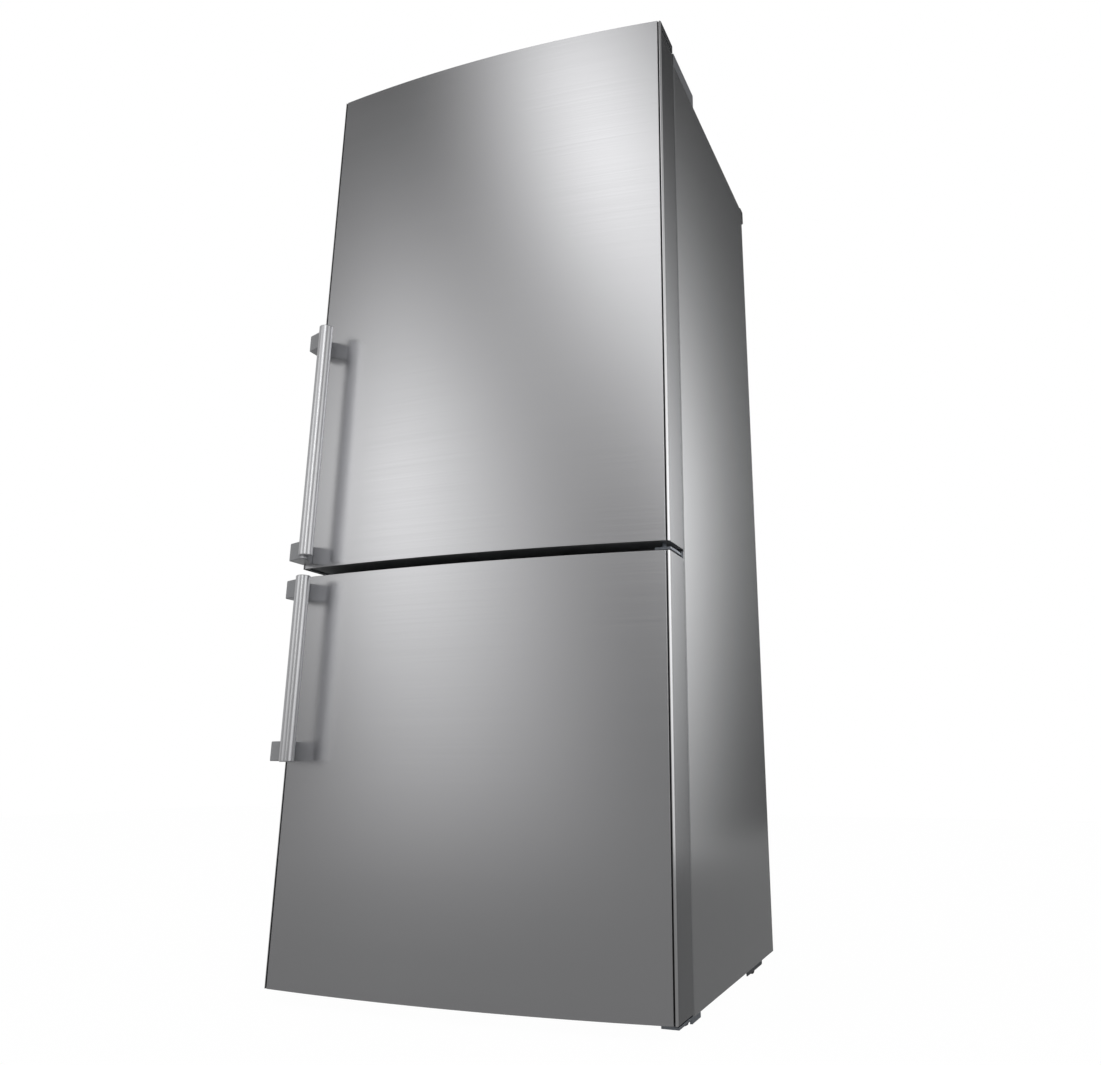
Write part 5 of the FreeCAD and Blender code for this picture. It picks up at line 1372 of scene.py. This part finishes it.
# %% [markdown]
# ## Fans and their motors
#
# Each fan is a domed hub on its motor's shaft with seven blades copied round it. The two fans
# are the same moulding, and only the axis that they turn about differs.

# %% Fans and motors
FAN_DEPTH, HUB_R, BLADE_TIP, MOTOR_BORE = 14.0 * MM, 18.0 * MM, 54.5 * MM, 2.55 * MM


def fan_mesh(node, axis):
    """A hub and its blades, about an axis through the middle of the box."""
    low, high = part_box(node)
    centre = (low + high) / 2
    stand = {"X": (0.0, math.radians(90), 0.0), "Y": (math.radians(-90), 0.0, 0.0)}[axis]
    start = centre.copy()
    start["XY".index(axis)] -= FAN_DEPTH / 2
    hub = [(MOTOR_BORE, 0), (HUB_R - MM, 0), (HUB_R, MM), (HUB_R, FAN_DEPTH - 3 * MM),
           (HUB_R - 2 * MM, FAN_DEPTH - MM), (HUB_R * 0.5, FAN_DEPTH), (MOTOR_BORE, FAN_DEPTH)]
    blade = blade_mesh(HUB_R - MM, BLADE_TIP, 22.0 * MM, FAN_DEPTH)
    return merged(turned(axis, start, hub), ring(blade, black_moulding, 7, centre, stand))


piece("cold_fan", fan_mesh("evaporator_fan", "Y"), black_moulding, "evaporator_fan",
      "black_moulding", "evaporator_fan", smooth=50.0)
piece("warm_fan", fan_mesh("condenser_fan", "X"), black_moulding, "condenser_fan",
      "black_moulding", "condenser_fan", smooth=50.0)
piece("fan_motor_cans", softened("fan_motors", 1.0 * MM), black_moulding, "cabinet",
      "black_moulding", "fan_motors", smooth=40.0)
print("fans made")

# %% [markdown]
# ## Compressor
#
# The compressor is two deep-drawn steel cups welded round the middle, under black enamel. It
# stands on a pressed foot plate with rubber mounts, and a terminal cover hangs on its side. Two
# scaled spheres would miss the seam and the straight wall, so one profile with both is turned.

# %% Compressor
comp_low, comp_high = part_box("compressor")
CAN_R, CAN_SKIRT, CAN_DOME, CAN_FOOT, SEAM_STEP = 76 * MM, 18 * MM, 40 * MM, 4 * MM, 1.5 * MM
can_x, can_y = (comp_low.x + comp_high.x) / 2, (comp_low.y + comp_high.y) / 2
can_h = comp_high.z - comp_low.z
seam, shoulder = can_h * 0.52, can_h - CAN_DOME
profile = [(0, CAN_FOOT), (CAN_R - CAN_SKIRT, CAN_FOOT)]
profile += arc((CAN_R - CAN_SKIRT, CAN_FOOT + CAN_SKIRT), CAN_SKIRT, -75, 0, 5)
profile += [(CAN_R, seam - 5 * MM), (CAN_R, seam - 4 * MM), (CAN_R - SEAM_STEP, seam - 2 * MM),
            (CAN_R - SEAM_STEP, seam + 2 * MM), (CAN_R, seam + 4 * MM), (CAN_R, shoulder)]
profile += [(CAN_R * u, shoulder + CAN_DOME * v) for u, v in arc((0, 0), 1.0, 12, 77, 5)]
can = turned("Z", (can_x, can_y, comp_low.z), profile + [(0, can_h)], 64)
foot = block((comp_low.x, comp_high.x), (can_y - 60 * MM, can_y + 60 * MM),
             (comp_low.z, comp_low.z + CAN_FOOT), 1.5 * MM, 3)
terminal = block((comp_low.x + 8 * MM, can_x - CAN_R + 12 * MM), (can_y - 25 * MM, can_y + 25 * MM),
                 (comp_low.z + 50 * MM, comp_low.z + 115 * MM), 4 * MM, 4)
MOUNT_INSET, MOUNT_SPAN = 14 * MM, 90 * MM
grommet = [(0, 3.5), (9, 3.5), (9, 6), (7, 8), (7, 11), (8, 13), (4, 15), (0, 15)]
mount = turned("Z", (comp_low.x + MOUNT_INSET, can_y - MOUNT_SPAN / 2, comp_low.z),
               [(radius * MM, height * MM) for radius, height in grommet], 24)
mounts = row(mount, black_moulding, 2, (comp_high.x - comp_low.x - 2 * MOUNT_INSET, 0.0, 0.0),
             2, (0.0, MOUNT_SPAN, 0.0))
piece("compressor_can", merged(can, foot, terminal, mounts), black_enamel, "cabinet",
      "compressor_enamel", "compressor", smooth=40.0)
print("compressor made", round(can_h / MM), "mm tall")

# %% [markdown]
# ## Foam
#
# The foam is never seen on a whole fridge. The cabinet's blocks stay as the construction has
# them and only take the cream, open-celled look that a cut through a wall would show. The doors'
# foam follows the bowed sheets, so it is built again from the same plan lines.

# %% Foam
FOAM_GAP, FOAM_PLAY = 2.5 * MM, 0.1 * MM
for door, (body, *_) in DOORS.items():
    foam_low, foam_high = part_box(door + "_door_foam")
    mesh = pushed("Z", plug_outline(back=DOOR_BACK - SHEET - FOAM_GAP),
                  foam_low.z + FOAM_PLAY, foam_high.z - FOAM_PLAY)
    piece(door + "_foam", mesh, foam_cream, body, "foam", door + "_door_foam", smooth=50.0)
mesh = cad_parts["cabinet_foam"].data
mesh.materials.clear()
mesh.materials.append(foam_cream)
print("foam dressed")

# %% [markdown]
# ## Floor
#
# The fridge stands on pale paper against pure white. So that the paper melts into the white
# behind it, rays that look at it, straight on or through metal and glass, see nearly full white.
# Rays that only carry light find matt paper, which takes a soft shadow. A brighter lamp could
# whiten the floor too, but would bleach the fridge with it.

# %% Floor


def flat_sheet(name, corners, material):
    """A four-cornered face of the studio, with its material."""
    mesh = bpy.data.meshes.new(name)
    mesh.from_pydata(corners, [], [(0, 1, 2, 3)])
    mesh.materials.append(material)
    made = placed(name, mesh)
    return made


def looking(tree):
    """1 for rays that look, straight on or through metal and glass, and 0 for all others."""
    path = add(tree, "ShaderNodeLightPath").outputs
    seen = add(tree, "ShaderNodeMath", {0: path["Is Camera Ray"], 1: path["Is Glossy Ray"]},
               operation="MAXIMUM")
    through = add(tree, "ShaderNodeMath", {0: seen.outputs[0], 1: path["Is Transmission Ray"]},
                  operation="MAXIMUM")
    return through.outputs[0]


FLOOR, WHITE_SHARE = 6.0, 0.985
paper, tree = empty_material("matt_white_paper")
place = add(tree, "ShaderNodeTexCoord").outputs["Object"]
fibre = add(tree, "ShaderNodeTexNoise", {"Vector": place, "Scale": 400.0, "Detail": 4.0})
relief = add(tree, "ShaderNodeBump", {"Height": fibre.outputs["Fac"], "Distance": 0.1 * MM})
matt = add(tree, "ShaderNodeBsdfPrincipled", {"Base Color": colour("#f4f4f4"), "Roughness": 0.9,
           "Normal": relief.outputs["Normal"]})
glow = add(tree, "ShaderNodeEmission", {"Color": colour("#ffffff"), "Strength": 1.0})
share = add(tree, "ShaderNodeMath", {0: looking(tree), 1: WHITE_SHARE}, operation="MULTIPLY")
mixed = add(tree, "ShaderNodeMixShader", {0: share.outputs[0], 1: matt.outputs[0],
            2: glow.outputs[0]})
add(tree, "ShaderNodeOutputMaterial", {"Surface": mixed.outputs[0]})
flat_sheet("studio_floor", [(-FLOOR, -FLOOR, 0), (FLOOR, -FLOOR, 0), (FLOOR, FLOOR, 0),
                            (-FLOOR, FLOOR, 0)], paper)
print("floor laid")

# %% [markdown]
# ## Room and lamps
#
# The world is white to rays that look and a little dimmer as a lamp, which keeps the plastics
# and the inside from washing out. Two large soft lamps, one high at the front left and one
# upright at the right, give the matt pieces their form. Reflections don't see them, because
# the metals get their light from the cards of the next step.

# %% World and lamps
world = bpy.data.worlds.new("white_studio")
bpy.context.scene.world = world
world.use_nodes = True
tree = world.node_tree
tree.nodes.clear()
strength = add(tree, "ShaderNodeMapRange", {"Value": looking(tree), "To Min": 0.7, "To Max": 1.0})
sky = add(tree, "ShaderNodeBackground",
          {"Color": colour("#ffffff"), "Strength": strength.outputs["Result"]})
add(tree, "ShaderNodeOutputWorld", {"Surface": sky.outputs[0]})


def lamp(name, place, aim, size, power):
    """A soft rectangular lamp at a place, turned towards another."""
    light = bpy.data.lights.new(name, "AREA")
    light.shape = "RECTANGLE"
    light.size, light.size_y = size
    light.energy = power
    made = placed(name, light)
    made.location = place
    made.rotation_mode = "QUATERNION"
    made.rotation_quaternion = (Vector(aim) - Vector(place)).to_track_quat("-Z", "Y")
    made.visible_camera = made.visible_glossy = False


lamp("soft_key", (-1.6, -2.4, 3.6), (0, -0.2, 0.9), (1.8, 1.8), 45)
lamp("tall_side", (3.2, -0.9, 1.3), (0, -0.9, 1.3), (1.4, 2.6), 32)
print("lamps placed")

# %% [markdown]
# ## Reflector cards
#
# Polished sheet shows only what stands around it. In a studio, graded cards stand out of the
# picture so that the metal shows a slow run from dark to light. Five stand here: before the
# doors, on the floor in front, at the right, beside the cabinet's back, and at the left. Each
# glows by soft lobes on a grey ground, and only reflections see it. Their lobes were placed
# until the doors showed the portrait's gradients. The front card's lobe on the right draws the
# bars' highlight, and the right card's first lobe the bright line down the doors' corners.

# %% Reflector cards


def card(name, corners, ground, lobes):
    """A graded card. A lobe is a strength, a centre, three radii and three turns."""
    glowing, tree = empty_material(name + "_card")
    place = add(tree, "ShaderNodeTexCoord").outputs["Object"]
    total = ground
    for strength, centre, radii, turn in lobes:
        local = add(tree, "ShaderNodeMapping", {"Vector": place, "Location": centre,
                    "Rotation": turn, "Scale": radii}, vector_type="TEXTURE")
        blob = add(tree, "ShaderNodeTexGradient", {"Vector": local.outputs["Vector"]},
                   gradient_type="QUADRATIC_SPHERE")
        total = add(tree, "ShaderNodeMath", {0: blob.outputs["Fac"], 1: strength, 2: total},
                    operation="MULTIPLY_ADD").outputs[0]
    glow = add(tree, "ShaderNodeEmission", {"Color": colour("#ffffff"), "Strength": total})
    add(tree, "ShaderNodeOutputMaterial", {"Surface": glow.outputs["Emission"]})
    made = flat_sheet(name, corners, glowing)
    made.visible_camera = made.visible_diffuse = made.visible_shadow = False
    made.visible_transmission = False


card("front_card", [(-20, -5, 0), (3, -5, 0), (3, -5, 18), (-20, -5, 18)], 0.12,
     [(1.7, (-0.7, -5, 4.8), (2.5, 1, 5.9), (0, -0.678, 0)),
      (1.25, (-3.9, -5, 2.4), (6.2, 1, 4.1), (0, 0.597, 0)),
      (-0.18, (-1.1, -5, 3.4), (2.8, 1, 10), (0, -0.75, 0)),
      (2.4, (1.6, -5, 2.6), (1.5, 1, 4.2), (0, 0, 0)),
      (0.4, (-11, -5, 3), (5, 1, 6), (0, 0, 0))])
card("floor_card", [(-9, -5, 0.0005), (3, -5, 0.0005), (3, 9, 0.0005), (-9, 9, 0.0005)], 0.2,
     [(0.4, (-2.5, -6, 0), (5.0, 6.0, 1), (0, 0, 0))])
card("side_card", [(1.2, 1.2, 0), (1.2, 40, 0), (1.2, 40, 20), (1.2, 1.2, 20)], 0.03,
     [(3.0, (1.2, 2.05, 1.4), (1, 1.45, 2.7), (0, 0, 0))])
card("right_card", [(3, -5, 0), (3, 12, 0), (3, 12, 12), (3, -5, 12)], 0.12,
     [(1.1, (3, -1.0, 1.35), (1, 2.2, 3.4), (0, 0, 0)),
      (0.35, (3, 0.6, 1.5), (1, 4, 5), (0, 0, 0)),
      (0.9, (3, -4.7, 2.5), (1, 2.4, 4.2), (0, 0, 0))])
card("left_card", [(-2.5, -1.2, 0), (-2.5, 9, 0), (-2.5, 9, 9), (-2.5, -1.2, 9)], 0.4, [])
print("cards placed")

# %% [markdown]
# ## Camera
#
# The portrait was taken from low at the front right, looking up. The camera's place, its turn
# and its focal length were solved from the portrait's edges. The picture's middle isn't quite
# on the lens's axis, so a small shift makes up for that.

# %% Camera
camera_data = bpy.data.cameras.new("portrait_camera")
camera = placed("portrait_camera", camera_data)
bpy.context.scene.camera = camera
IMAGE_W, IMAGE_H = 1101, 1065
FOCAL_PX, CENTRE_X, CENTRE_Y = 983.08, 611.94, 463.61
camera_data.sensor_width = 36.0
camera_data.lens = FOCAL_PX / IMAGE_W * camera_data.sensor_width
camera_data.shift_x = -(CENTRE_X - IMAGE_W / 2) / IMAGE_W
camera_data.shift_y = (CENTRE_Y - IMAGE_H / 2) / IMAGE_W
camera.location = (0.7988, -1.7642, 0.3673)
yaw, pitch = math.radians(20.5), math.radians(17.0)
look = Vector((-math.sin(yaw) * math.cos(pitch), math.cos(yaw) * math.cos(pitch), math.sin(pitch)))
camera.rotation_mode = "QUATERNION"
camera.rotation_quaternion = look.to_track_quat("-Z", "Y")
bpy.context.scene.view_settings.view_transform = "Standard"
print("camera looks along", [round(v, 3) for v in look])
